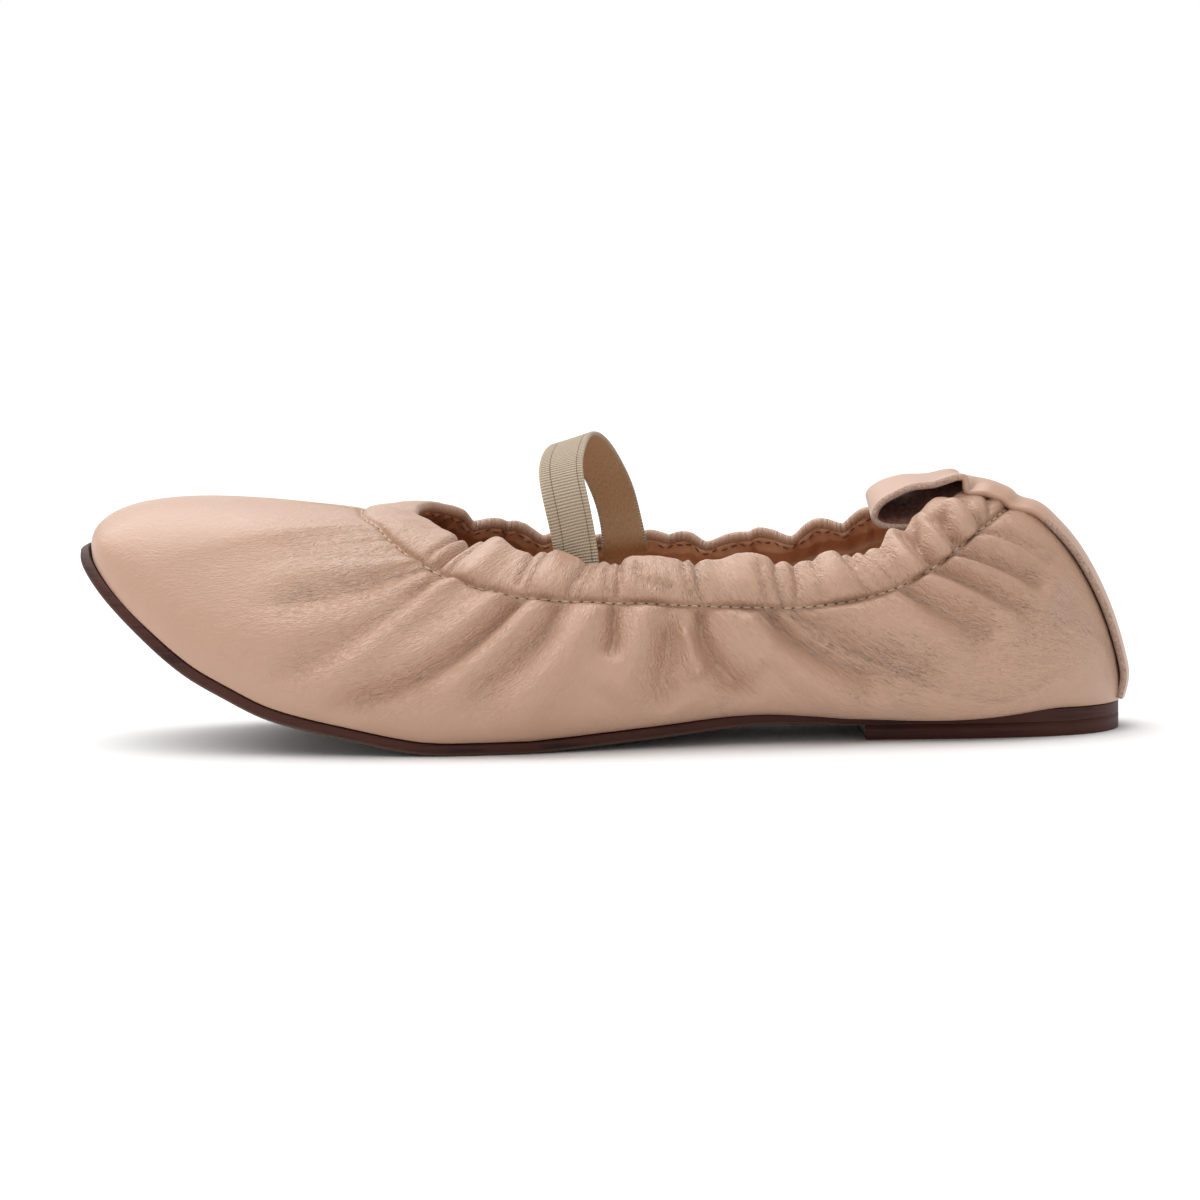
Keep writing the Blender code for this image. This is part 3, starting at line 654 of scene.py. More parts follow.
# Creases across the band, from the rim down to the seam
OUTER_BAND_CREASES = (
    (-1.7, 1.4, 0.9, ((148, 46.6), (152, 43.7), (156, 40.2))),
    (-0.8, 0.8, 0.7, ((151, 47.2), (155, 44.6), (159, 40.9))),
    (-0.6, 0.7, 0.6, ((145, 46.5), (148, 44.0), (152, 39.8))),
    (-0.6, 0.8, 0.7, ((134, 44.1), (135, 41.2), (137, 37.1))),
    (-0.4, 0.7, 0.6, ((131, 43.8), (133, 40.1), (135, 35.6))),
    (-0.6, 0.8, 0.7, ((122, 41.6), (124, 38.6), (127, 33.8))),
    (-0.4, 0.7, 0.6, ((120, 40.9), (122, 37.8), (124, 33.4))),
    (-1.1, 0.8, 0.7, ((115, 41.4), (115, 37.8), (116, 32.5))),
    (-0.5, 0.6, 0.6, ((117, 41.4), (118, 37.8), (118, 32.7))),
    (-0.5, 0.8, 0.7, ((111, 40.0), (110, 37.5), (107, 36.2), (104, 35.4))),
    (-1.1, 1.1, 0.8, ((98, 42.2), (98, 38.6), (97, 32.0))),
    (-0.6, 0.7, 0.7, ((101, 41.6), (100, 37.5), (98, 32.2))),
    (-0.7, 0.8, 0.7, ((80, 40.6), (80, 37.0), (79, 31.6))),
    (-0.4, 0.7, 0.6, ((84, 39.8), (83, 36.1), (83, 31.9))),
    (-0.6, 0.7, 0.6, ((76, 40.7), (76, 37.0), (76, 32.0))),
    (-0.4, 0.8, 0.7, ((72, 41.3), (71, 39.0), (70, 33.3))),
    (-0.5, 0.7, 0.6, ((65, 42.0), (63, 38.8), (60, 33.4))),
    (-0.5, 0.7, 0.6, ((63, 42.2), (60, 39.1), (56, 34.4))),
    (-0.5, 0.7, 0.6, ((60, 42.2), (57, 39.5), (53, 34.9))),
    (-0.5, 0.7, 0.6, ((56, 42.6), (54, 40.0), (51, 35.7))),
    (-1.9, 1.1, 0.9, ((49, 46.2), (47, 42.2), (44, 38.7))),
    (-0.7, 0.7, 0.6, ((51, 44.8), (49, 41.8), (46, 37.9))),
    (-1.9, 1.1, 0.9, ((42, 50.0), (40, 45.2), (37.5, 41.8))),
    (-0.6, 0.7, 0.6, ((44, 47.6), (42, 44.3), (39.5, 40.9))),
    (-1.5, 1.0, 0.8, ((38, 53.2), (35, 50.0), (33, 47.3))),
    (-0.8, 0.8, 0.7, ((31, 55.3), (31, 51.7), (31, 49.0))),
    (1.0, 3.0, 2.2, ((142, 46.0), (144, 42.0), (148, 37.5))),
    (0.5, 3.4, 2.6, ((128, 43.5), (129, 39.0), (130, 35.0))),
    (0.6, 2.8, 2.2, ((106, 42.0), (106, 38.0), (106, 34.0))),
    (0.7, 3.2, 2.6, ((89, 42.0), (89, 37.5), (89, 33.0))),
    (0.5, 3.0, 2.4, ((68, 42.0), (67, 38.0), (65, 34.0))),
    (1.1, 2.0, 1.8, ((53, 45.5), (51, 41.5), (48, 37.5))),
    (1.2, 1.9, 1.8, ((45.5, 48.5), (43.5, 44.0), (41, 40.0))),
    (1.0, 1.8, 1.6, ((39.5, 52.0), (37.5, 48.0), (35.5, 44.0))),
)
INNER_BAND_CREASES = (
    (-1.0, 1.8, 1.0, ((148, 50.5), (152, 47.5), (156, 44.5))),
    (-0.5, 1.6, 1.0, ((141, 48.5), (144, 45.0), (148, 41.0))),
    (-0.9, 2.2, 1.2, ((132, 47.0), (134, 43.5), (136, 39.0))),
    (-0.5, 1.6, 1.0, ((120, 45.5), (121, 42.0), (123, 37.5))),
    (-0.9, 2.2, 1.2, ((112, 44.5), (112, 41.0), (112, 37.0))),
    (-0.4, 1.6, 1.0, ((103, 44.5), (103, 41.0), (102, 36.5))),
    (-1.0, 2.2, 1.2, ((93, 44.5), (92, 41.0), (91, 36.5))),
    (-0.5, 1.6, 1.0, ((84, 45.5), (83, 42.0), (81, 37.0))),
    (-1.0, 2.2, 1.2, ((74, 45.0), (73, 41.5), (70, 37.5))),
    (-0.8, 1.8, 1.0, ((62, 48.0), (60, 44.0), (57, 39.5))),
    (-1.0, 1.6, 1.0, ((51, 50.5), (49, 46.0), (46, 42.0))),
    (-0.9, 1.6, 1.0, ((42, 53.5), (40, 49.5), (38, 46.0))),
)

# How far round the shoe the folds drift from the seam to the foot of the wall, by their start
FOLD_STARTS = (0.0, 0.04, 0.07, 0.09, 0.16, 0.18, 0.20, 0.24, 0.27, 0.30, 0.35, 0.40, 0.5)
FOLD_DRIFTS = (0.0, -0.018, -0.036, -0.045, -0.064, -0.050, -0.030, 0.004, 0.020, 0.030, 0.055, 0.040, 0.0)
BODY_DRIFT, BODY_DRIFT_TO = 2, 1.4
BAND_DRIFT = 0.4
CREASE_REACH = 3.6
CREASE_FADES_FROM = 0.72
TROUGH_POWER, RIDGE_POWER = 1.5, 2.0
WRINKLED_WIDTH = 2.4
UP_BODY = np.concatenate([np.linspace(0, 0.88, 58)[:-1], np.linspace(0.88, 1, 18)])
UP_BAND = np.concatenate([np.linspace(1, 1.2, 10)[1:], np.linspace(1.2, 1.87, 20)[1:]])
FACE_HEIGHTS = np.concatenate([[-1.0, -0.5], UP_BODY, UP_BAND])
even_u = np.linspace(0, 1, 4001)
crowding = np.where((even_u > CLOSE_FROM) & (even_u < CLOSE_TO), CLOSE_COLUMNS, 1.0)
crowding = np.concatenate([[0], np.cumsum(crowding[1:])])
round_u = np.interp(np.linspace(0, 1, ROUND_COLUMNS + 1), crowding / crowding[-1], even_u)


def wall_rows(u, heights):
    section = wall_section(u)
    return np.array([wall_row(section, v) for v in heights])


def fold_start(u, v):
    """The place on the seam, by u, whose fold runs through the place (u, v) of the wall."""
    half = np.where(u > 0.5, 1 - u, u)
    starts = np.linspace(0, 0.5, 800)
    drift = np.interp(starts, FOLD_STARTS, FOLD_DRIFTS)
    fall = min((1 - v) * BODY_DRIFT, BODY_DRIFT_TO) if v <= 1 else (1 - v) * BAND_DRIFT
    found = np.interp(half, np.maximum.accumulate(starts + drift * fall), starts)
    return np.where(u > 0.5, 1 - found, found)


def crease_depth(face, side_mask, creases, above_seam, full_depth, full_width):
    """Sums the troughs and ridges of a table over the wall's face, in metres."""
    depth = np.zeros(face.shape[:2])
    wrinkled = np.zeros(face.shape[:2])
    allowed = side_mask[None, :] & above_seam[:, None]
    pick = np.argwhere(allowed)
    cloud = face[allowed]
    for size, start_width, end_width, places in creases:
        spots = []
        for along, height in places:
            away = (cloud[:, 0] - (HEEL_BACK - along * 0.001)) ** 2 + (cloud[:, 2] - height * 0.001) ** 2
            spots.append(cloud[np.argmin(away)])
        course = spline(np.array(spots), np.linspace(0, 1, 28))
        reach = CREASE_REACH * max(start_width, end_width) * full_width * 0.001
        near = np.all((cloud > course.min(0) - reach) & (cloud < course.max(0) + reach), axis=1)
        points = cloud[near]
        step = np.diff(course, axis=0)
        offset = points[:, None] - course[None, :-1]
        share = np.clip((offset * step).sum(-1) / (step**2).sum(-1), 0, 1)
        away = np.linalg.norm(offset - share[..., None] * step, axis=-1)
        nearest = away.argmin(1)
        rows = np.arange(len(points))
        distance = away[rows, nearest]
        run = (nearest + share[rows, nearest]) / len(step)
        width = (start_width + (end_width - start_width) * run) * full_width * 0.001
        fade = 1 - smooth_step(CREASE_FADES_FROM, 1.0, run) if end_width > start_width else 1.0
        profile = fade * np.exp(-((distance / width) ** (TROUGH_POWER if size < 0 else RIDGE_POWER)))
        at = pick[near]
        depth[at[:, 0], at[:, 1]] += size * full_depth * 0.001 * profile
        if size < 0:
            spread = fade * np.exp(-((distance / (WRINKLED_WIDTH * width)) ** 2))
            wrinkled[at[:, 0], at[:, 1]] = np.maximum(wrinkled[at[:, 0], at[:, 1]], spread)
    return depth, wrinkled


face = wall_rows(round_u, FACE_HEIGHTS)
along_u = np.gradient(face, axis=1)
along_u[:, 0] = along_u[:, -1] = (face[:, 1] - face[:, -2]) / 2
normal = unit(np.cross(np.gradient(face, axis=0), along_u))
outer_side = round_u <= 0.5
seam_row = int(np.argmin(abs(FACE_HEIGHTS - 1)))
body_rows = (FACE_HEIGHTS >= 0) & (FACE_HEIGHTS <= 1)
band_rows = FACE_HEIGHTS > 1
relief = np.zeros(face.shape[:2])
wrinkled = np.zeros(face.shape[:2])
for side, rows, table, full_depth, full_width in (
    (outer_side, body_rows, OUTER_CREASES, CREASE_DEPTH, CREASE_WIDTH),
    (~outer_side, body_rows, INNER_CREASES, CREASE_DEPTH, CREASE_WIDTH),
    (outer_side, band_rows, OUTER_BAND_CREASES, BAND_CREASE_DEPTH, BAND_CREASE_WIDTH),
    (~outer_side, band_rows, INNER_BAND_CREASES, BAND_CREASE_DEPTH, BAND_CREASE_WIDTH),
):
    depth, spread = crease_depth(face, side, table, rows, full_depth, full_width)
    relief += depth
    wrinkled = np.maximum(wrinkled, spread)

# Distance down or up the wall from the seam, and along the seam, in metres
row_gaps = np.linalg.norm(np.diff(face, axis=0), axis=2)
climb = np.concatenate([np.zeros((1, face.shape[1])), np.cumsum(row_gaps, axis=0)])
climb -= climb[seam_row]
seam_run = run_along(face[seam_row])
fold_run = np.array([np.interp(fold_start(round_u, v), round_u, seam_run) for v in FACE_HEIGHTS])

# Small gathers between the main creases: round tops with sharp valleys
RIPPLES = (
    # spacing in millimetres, share, phase
    (3.4, 0.5, 0.3),
    (5.3, 0.5, 1.9),
)
RIPPLE_DEPTH = 0.00042
RIPPLE_FADE = 0.010
BAND_RIPPLE = 0.4
TOE_CALM = 0.85
TOE_CALM_FROM, TOE_CALM_TO = 0.42, 0.47
WANDERS = (
    # millimetres to the side, wavelength over a full turn, phase
    (0.8, 2.7, 0.0),
    (0.6, 1.3, 1.0),
)
drifting = fold_run * 1000
for shift, wavelength, phase in WANDERS:
    drifting = drifting + shift * np.sin(fold_run * 1000 / wavelength + phase)
ripple = np.zeros_like(drifting)
for spacing, share, phase in RIPPLES:
    ripple += share * (2 * abs(np.sin(np.pi * drifting / spacing + phase)) ** 0.8 - 1)
from_heel = np.where(round_u > 0.5, 1 - round_u, round_u)
quiet_toe = 1 - smooth_step(TOE_CALM_FROM, TOE_CALM_TO, from_heel) * TOE_CALM
ripple = np.where(climb > 0, BAND_RIPPLE, 1.0) * ripple
relief += RIPPLE_DEPTH * ripple * np.exp(-abs(climb) / RIPPLE_FADE) * quiet_toe

# The seam pins the leather down in a narrow groove, and the leather swells on both sides of it
SEAM_GROOVE = 0.0006
SEAM_WIDTH = 0.0008
SEAM_HOLD = 0.75
SEAM_HOLD_WIDTH = 0.0012
SEAM_SWELL = 0.0007
SEAM_SWELL_REACH = 0.0035
BAND_SWELL = 1.7
relief *= 1 - SEAM_HOLD * np.exp(-((climb / SEAM_HOLD_WIDTH) ** 2))
relief -= SEAM_GROOVE * np.exp(-((climb / SEAM_WIDTH) ** 2))
swell_shape = abs(climb) / SEAM_SWELL_REACH
swell = SEAM_SWELL * np.where(climb > 0, BAND_SWELL, 1.0)
relief += swell * swell_shape * np.exp(1 - swell_shape) * quiet_toe
relief[FACE_HEIGHTS < 0] = 0
relief *= smooth_step(0.0, LASTED_FLAT, np.maximum(FACE_HEIGHTS, 0))[:, None]

# The hidden leather behind the folds follows their lowest points nearby, and the rim waves
# up and down with the band's folds
BACK_ROWS, BACK_COLUMNS = range(-6, 7, 2), range(-8, 9, 2)
deepest = relief.copy()
for row_shift in BACK_ROWS:
    for column_shift in BACK_COLUMNS:
        deepest = np.minimum(deepest, np.roll(relief, (row_shift, column_shift), (0, 1)))
dip = RIM_DIP * relief * smooth_step(RIM_WAVES_FROM, 2.0, FACE_HEIGHTS)[:, None]
waves = unit(np.gradient(face, axis=0)) * dip[..., None]
dressed = face + normal * relief[..., None] + waves

# The band's rolled top edge, its inner lip, and the hidden back of the leather
ROLL_ANGLES = np.linspace(0, np.pi, 10)[1:]
LIP_DEPTH = 0.0016
roll_radius = BAND_WALL / 2
rise = unit(face[-1] - face[-4])
roll_centre = dressed[-1] - normal[-1] * roll_radius
roll = np.array(
    [roll_centre + roll_radius * (np.cos(a) * normal[-1] + np.sin(a) * rise) for a in ROLL_ANGLES]
)
lip_end = roll[-1] - rise * LIP_DEPTH
lip = np.array([roll[-1] + (lip_end - roll[-1]) * share for share in (0.35, 0.7, 1.0)])
back_heights = np.concatenate([[1.7, 1.5, 1.3, 1.15, 1.05], np.linspace(0.98, 0, 14), [-1.0]])


def at_height(values, v):
    """A row of values between the face's rows, at the height v."""
    i = int(np.clip(np.searchsorted(FACE_HEIGHTS, v) - 1, 0, len(FACE_HEIGHTS) - 2))
    share = (v - FACE_HEIGHTS[i]) / (FACE_HEIGHTS[i + 1] - FACE_HEIGHTS[i])
    return values[i] * (1 - share) + values[i + 1] * share


back = []
for v in back_heights:
    back.append(at_height(face, v) + at_height(normal, v) * (at_height(deepest, v) - LEATHER)[:, None])
upper_points = np.concatenate([dressed, roll, lip, back, dressed[:1]])
hidden = len(upper_points) - len(dressed)

# Places where the grain is drawn into fine wrinkles, besides the creases and the seam
WRINKLED_PLACES = (
    # side, millimetres from the heel back, above the floor, radius, strength
    (-1, 172, 38, 20, 1.0),
    (-1, 165, 28, 16, 0.9),
    (-1, 152, 24, 13, 0.7),
    (-1, 100, 20, 10, 0.9),
    (-1, 70, 22, 9, 0.7),
    (-1, 26, 32, 18, 0.7),
    (1, 170, 38, 20, 1.0),
    (1, 150, 26, 14, 0.8),
    (1, 100, 22, 12, 0.7),
    (1, 28, 34, 16, 1.0),
)
QUIET_GRAIN = 0.28
SEAM_WRINKLES = 0.75
SEAM_WRINKLES_REACH = 0.007
LASTED_SMOOTH = (0.04, 0.22)
for side, along, height, radius, strength in WRINKLED_PLACES:
    away = np.hypot(face[..., 0] - (HEEL_BACK - along * 0.001), face[..., 2] - height * 0.001)
    patch = strength * np.exp(-((away / (radius * 0.001)) ** 2))
    wrinkled = np.where(np.sign(face[..., 1]) == side, np.maximum(wrinkled, patch), wrinkled)
wrinkled = np.maximum(wrinkled, SEAM_WRINKLES * np.exp(-abs(climb) / SEAM_WRINKLES_REACH) * quiet_toe)
wrinkled = QUIET_GRAIN + (1 - QUIET_GRAIN) * wrinkled
wrinkled *= smooth_step(*LASTED_SMOOTH, np.maximum(FACE_HEIGHTS, 0))[:, None]
pad = ((0, hidden), (0, 0))
fold_uv = np.stack([np.pad(fold_run, pad, "edge"), np.pad(climb, pad, "edge")], axis=-1) * 1000

# Nappa, a full-grain lamb skin, drum dyed and softly finished: a fine pebbled grain that draws
# into wrinkles along the folds, with a low satin gloss.
nappa, shader = new_material("nude_nappa", {"Roughness": 0.38, "Specular IOR Level": 0.6})
place = add_node(nappa, "ShaderNodeTexCoord").outputs["Object"]
surface = add_node(nappa, "ShaderNodeUVMap", uv_map="surface")
drawn = add_node(nappa, "ShaderNodeAttribute", attribute_name="wrinkled").outputs["Fac"]
waver = add_node(nappa, "ShaderNodeTexNoise", {"Vector": surface, "Scale": 0.22, "Detail": 2.0})
bent = add_node(
    nappa, "ShaderNodeVectorMath", {0: waver.outputs["Color"], 1: (1.4, 2.4, 0.0)}, operation="MULTIPLY"
)
bent = add_node(nappa, "ShaderNodeVectorMath", {0: surface, 1: bent}, operation="ADD")
long_cells = add_node(nappa, "ShaderNodeMapping", {"Vector": bent, "Scale": (1.0, 0.24, 1.0)})
lines = add_node(
    nappa, "ShaderNodeTexVoronoi", {"Vector": long_cells, "Scale": 1.0}, feature="DISTANCE_TO_EDGE"
)
fine_cells = add_node(nappa, "ShaderNodeMapping", {"Vector": bent, "Scale": (2.4, 0.8, 1.0)})
fine_lines = add_node(
    nappa, "ShaderNodeTexVoronoi", {"Vector": fine_cells, "Scale": 1.0}, feature="DISTANCE_TO_EDGE"
)
ridge = add_node(nappa, "ShaderNodeMapRange", {"Value": lines, 1: 0.0, 2: 0.42, 3: 0.0, 4: 1.0})
fine_ridge = add_node(
    nappa, "ShaderNodeMapRange", {"Value": fine_lines, 1: 0.0, 2: 0.30, 3: 0.0, 4: 1.0}
)
pebble = add_node(
    nappa, "ShaderNodeTexNoise", {"Vector": place, "Scale": 1500.0, "Detail": 3.0, "Roughness": 0.6}
)
first = add_node(nappa, "ShaderNodeMath", {0: ridge, 1: drawn}, operation="MULTIPLY")
second = add_node(nappa, "ShaderNodeMath", {0: fine_ridge, 1: drawn}, operation="MULTIPLY")
bump = add_node(nappa, "ShaderNodeBump", {"Height": first, "Distance": 0.00018, "Strength": 1.0})
bump = add_node(
    nappa, "ShaderNodeBump", {"Height": second, "Distance": 0.00013, "Strength": 1.0, "Normal": bump}
)
add_node(
    nappa,
    "ShaderNodeBump",
    {"Height": pebble, "Distance": 0.00009, "Strength": 0.8, "Normal": bump},
    shader.inputs["Normal"],
)
clouds = add_node(nappa, "ShaderNodeTexNoise", {"Vector": place, "Scale": 28.0, "Detail": 4.0})
ramp = add_node(nappa, "ShaderNodeValToRGB", {"Fac": clouds}, stops=[(0.32, "#B48F78"), (0.70, "#BA957E")])
# Painted shade: the leather is darkened along the fine wrinkle lines, where the grain is drawn into
# wrinkles.
crease_line_shade = add_node(nappa, "ShaderNodeMapRange", {"Value": lines, 1: 0.0, 2: 0.16, 3: 1.0, 4: 0.0})
crease_line_shade = add_node(nappa, "ShaderNodeMath", {0: crease_line_shade, 1: drawn}, operation="MULTIPLY")
crease_line_shade = add_node(nappa, "ShaderNodeMath", {0: crease_line_shade, 1: 0.12}, operation="MULTIPLY")
tone_with_crease_shade = add_node(nappa, "ShaderNodeMix", {0: crease_line_shade, 6: ramp, 7: srgb("#8F6450")}, data_type="RGBA")
nappa.node_tree.links.new(tone_with_crease_shade.outputs[2], shader.inputs["Base Color"])

upper_mesh = mapped_grid(
    "upper_leather", upper_points, uv=fold_uv, fields={"wrinkled": np.pad(wrinkled, pad, "edge")}
)
place_piece("upper_leather", upper_mesh, [nappa], "upper", "upper")


# The lining: tan leather sewn into the band along its inner lip and hanging down inside to
# the sock, drawn into small pleats below the lip.
LINING_COLUMNS = 520
LINING_TOP = 1.86
LINING_HEIGHTS = np.concatenate([np.linspace(LINING_TOP, 1.0, 24), np.linspace(1.0, 0.0, 28)[1:]])
LINING_BACK_HEIGHTS = (0.0, 0.2, 0.4, 0.6, 0.8, 1.0, 1.3, 1.6)
LINING_THICKNESS = 0.0006
LINING_TUCK = 0.0005
LINING_GAP = 0.0002
SEWN_FROM, SEWN_TO, TUCKED_FROM = 1.62, 1.84, 1.80
PLEATS = (
    # spacing in millimetres, share, phase
    (2.3, 0.35, 0.4),
    (4.9, 0.65, 2.2),
)
PLEAT_DEPTH = 0.0007
PLEATS_MIDDLE = 0.0035
PLEATS_REACH = 0.0075
step_u = np.linspace(0, 1, LINING_COLUMNS + 1)
spread = np.rint(step_u * ROUND_COLUMNS).astype(int)


def lining_row(v, pleat):
    """The lining's inner face at the height v."""
    depth = WALL + LINING_GAP + (BAND_WALL - WALL) * smooth_step(0.9, 1.1, v)
    inward = unit(at_height(normal, v)) * -1
    sewn = smooth_step(SEWN_FROM, SEWN_TO, v)
    fall = at_height(deepest, v) * (1 - sewn) + at_height(relief, v) * sewn
    depth -= LINING_TUCK * smooth_step(TUCKED_FROM, LINING_TOP, v)
    place = at_height(face, v) + at_height(waves, v) * sewn + inward * (depth - fall)[:, None]
    below_lip = (at_height(climb, LINING_TOP) - at_height(climb, v))[:, None]
    swell = PLEAT_DEPTH * pleat[:, None] * np.exp(-(((below_lip - PLEATS_MIDDLE) / PLEATS_REACH) ** 2))
    return place + inward * swell


pleat_run = fold_run[seam_row] * 1000
pleat = np.zeros_like(pleat_run)
for spacing, share, phase in PLEATS:
    pleat += share * (2 * abs(np.sin(np.pi * pleat_run / spacing + phase)) - 0.6)
inner_face = np.array([lining_row(v, pleat) for v in LINING_HEIGHTS])
top_edge = [inner_face[0] + unit(normal[-1]) * LINING_THICKNESS]
back_face = []
for v in LINING_BACK_HEIGHTS:
    back_face.append(lining_row(v, pleat * 0) + unit(at_height(normal, v)) * LINING_THICKNESS)
lining_points = np.concatenate([top_edge, inner_face, back_face, top_edge])[:, spread]
place_piece("lining", mapped_grid("lining", lining_points), [lining_leather], "insole")


# The seam under the band: cream thread in a lockstitch, each stitch dipping into a needle hole.
STITCH_PITCH = 0.0024
STITCH_LENGTH = 0.0019
THREAD = 0.00052
HOLE_SIZE = (0.0009, 0.0006, 0.0003)
LIP_SEAM = 1.81
LIP_STITCH = (0.0016, 0.0005, 0.0005)
seam_line = dressed[seam_row]
seam_normal = normal[seam_row]


def row_of_drops(name, line, outward, start, sizes, lift):
    """Small rounded drops of the given length, width and height, a stitch apart along a closed line."""
    run = run_along(line)
    count = int(run[-1] / STITCH_PITCH)
    places = (np.arange(count) + start) * run[-1] / count

    def along(values, shift=0.0):
        return np.stack([np.interp(places + shift, run, column) for column in values.T], axis=1)

    tangents = unit(along(line, 0.0006) - along(line, -0.0006))
    ups = unit(along(outward))
    spots = along(line) + ups * np.interp(places, run, lift)[:, None]
    size = Matrix.Diagonal((*(value / 2 for value in sizes), 1))
    drops = bmesh.new()
    for spot, tangent, up in zip(spots, tangents, ups):
        turn = Matrix((tangent, np.cross(up, tangent), up)).transposed().to_4x4()
        where = Matrix.Translation(spot) @ turn @ size
        bmesh.ops.create_uvsphere(drops, u_segments=8, v_segments=6, radius=1, matrix=where)
    mesh = bpy.data.meshes.new(name)
    drops.to_mesh(mesh)
    drops.free()
    mesh.shade_smooth()
    return mesh


# Where a crease meets the seam from below, the stitches sink out of sight
PINCH_HEIGHT = 0.94
PINCH_FROM, PINCH_TO = -0.0004, -0.0016
THREAD_LIFT, THREAD_SINK = 0.3, 0.9
pinched = smooth_step(PINCH_FROM, PINCH_TO, at_height(relief, PINCH_HEIGHT))
thread_lift = THREAD * (THREAD_LIFT - THREAD_SINK * pinched)
flush = np.zeros(len(seam_line))
stitch_size = (STITCH_LENGTH, THREAD, THREAD)
stitch_mesh = row_of_drops("seam_thread", seam_line, seam_normal, 0.5, stitch_size, thread_lift)
hole_mesh = row_of_drops("needle_holes", seam_line, seam_normal, 0.0, HOLE_SIZE, flush)
lip_line = lining_row(LIP_SEAM, pleat)
lip_mesh = row_of_drops("lip_stitches", lip_line, -normal[-1], 0.5, LIP_STITCH, flush)

# Spun polyester thread, undyed cream: a fine twist and a soft sheen.
thread_material, shader = new_material("cream_thread", {"Roughness": 0.7})
place = add_node(thread_material, "ShaderNodeTexCoord").outputs["Object"]
twist = add_node(thread_material, "ShaderNodeTexNoise", {"Vector": place, "Scale": 4000.0})
add_node(
    thread_material, "ShaderNodeValToRGB", {"Fac": twist}, shader.inputs["Base Color"],
    stops=[(0.0, "#A58970"), (1.0, "#DCC6AA")],
)
place_piece("seam_thread", stitch_mesh, [thread_material], "strap")

# Painted shade: the shadowed inside of a needle hole in dyed leather, also given to the lip stitches,
# whose thread lies in shadow
hole_shade_material = new_material("needle_hole", {"Base Color": srgb("#6A4434"), "Roughness": 0.9})[0]
place_piece("needle_holes", hole_mesh, [hole_shade_material], "upper")
# The lip stitches get the same painted shade: dark dashes where the thread lies in shadow.
place_piece("lip_stitches", lip_mesh, [hole_shade_material], "upper")


# The strap: woven cream elastic, ribbed on its face and plain on its back, its ends sewn inside
# the band on both sides.
STRAP_CLEARANCE = 0.0006
STRAP_WIDTH = 0.0095
STRAP_THICKNESS = 0.0011
STRAP_RISE = 0.0272
STRAP_TUCK = 0.0110
STRETCHED = 0.94
STRAP_COLUMNS, STRAP_ROWS = 17, 260
STRAP_COURSE = (
    # share of the way across, of strap rise up, of strap width: towards the toe, heel side raised
    (0.020, 0.545, 0.21, 0.00),
    (0.080, 0.770, 0.40, 0.10),
    (0.270, 0.950, 0.55, 0.22),
    (0.500, 1.000, 0.60, 0.32),
    (0.690, 0.905, 0.50, 0.32),
    (0.830, 0.700, 0.33, 0.22),
    (0.920, 0.480, 0.18, 0.10),
    (0.970, 0.220, 0.06, 0.00),
)
STRAP_OUTER_PLACE = 0.522
STRAP_INNER_PLACE = 0.475


def wall_face(u, v, out):
    """Points of the wall's face at places u of the height v, moved outwards."""
    across = wall_row(wall_section(u + 0.001), v) - wall_row(wall_section(u - 0.001), v)
    section = wall_section(u)
    up = wall_row(section, v) - wall_row(section, v - 0.02)
    return wall_row(section, v) + unit(np.cross(up, across)) * out


def smooth_rows(rows, count):
    """Runs a smooth curve through each column of a sheet's rows, for count rows."""
    columns = np.swapaxes(np.array(rows), 0, 1)
    return np.swapaxes([spline(column, np.linspace(0, 1, count)) for column in columns], 0, 1)


def ribbon(name, rows, thickness, edge_columns, face_slots=None, plain_edge=None):
    """A flat strip with rounded edges, closed at both ends, along rows of points."""
    run = np.gradient(rows, axis=0)
    across = np.gradient(rows, axis=1)
    out = unit(np.cross(run, across))
    count = rows.shape[1]
    there, back = np.arange(count), np.arange(count)[::-1]
    columns = np.concatenate([there, [count - 1] * edge_columns, back, [0] * edge_columns, [0]])
    bend = np.pi * (np.arange(edge_columns) + 1) / (edge_columns + 1)
    level = np.concatenate([np.ones(count), np.cos(bend), -np.ones(count), -np.cos(bend), [1.0]])
    reach = np.concatenate([np.zeros(count), np.sin(bend), np.zeros(count), -np.sin(bend), [0.0]])
    side = unit(rows[:, -1] - rows[:, 0])[:, None]
    half = thickness / 2
    points = rows[:, columns] + out[:, columns] * (level * half)[:, None] + side * (reach * half)[:, None]
    shut = [rows[:1, columns], points, rows[-1:, columns]]
    points = np.concatenate(shut)
    length = np.pad(run_along(rows[:, count // 2]), 1, "edge")
    width = np.linalg.norm(rows[0, -1] - rows[0, 0])
    from_edge = columns / (count - 1) * width
    uv = np.stack(np.broadcast_arrays(from_edge[None, :], length[:, None]), axis=-1) * 1000
    slots = None
    if face_slots is not None:
        kind = np.repeat([0, 1, 2, 1], [count - 1, edge_columns + 1, count - 1, edge_columns + 1])
        slots = np.tile(np.array(face_slots)[kind], (len(points), 1))
        if plain_edge is not None:
            slots[np.pad(plain_edge, 1, "edge")[:, None] & (kind == 1)] = face_slots[0]
    return mapped_grid(name, points, uv=uv, face_slots=slots)


def place_on_topline(side, share):
    """The u whose topline point is a share of the length from the heel back, on one side."""
    u = np.linspace(0.02, 0.45, 400) if side < 0 else np.linspace(0.98, 0.60, 400)
    return np.interp(share * LENGTH, round_shoe(u)[:, 5], u)


def strap_leg(u, side):
    """Rows of the strap's end, hidden between the foot and the topline band, bottom first."""
    ends = wall_row(wall_section(np.array([u - 0.01, u + 0.01])), 2)
    spread = STRAP_WIDTH * 0.02 / np.linalg.norm(ends[1] - ends[0])
    places = u - side * np.linspace(-0.5, 0.5, STRAP_COLUMNS) * spread
    inside = -(BAND_WALL + STRAP_CLEARANCE + STRAP_THICKNESS / 2)
    lowest = 2 - STRAP_TUCK / BAND_WIDTH
    return [wall_face(places, v, inside) for v in np.linspace(lowest, 2, 4)]


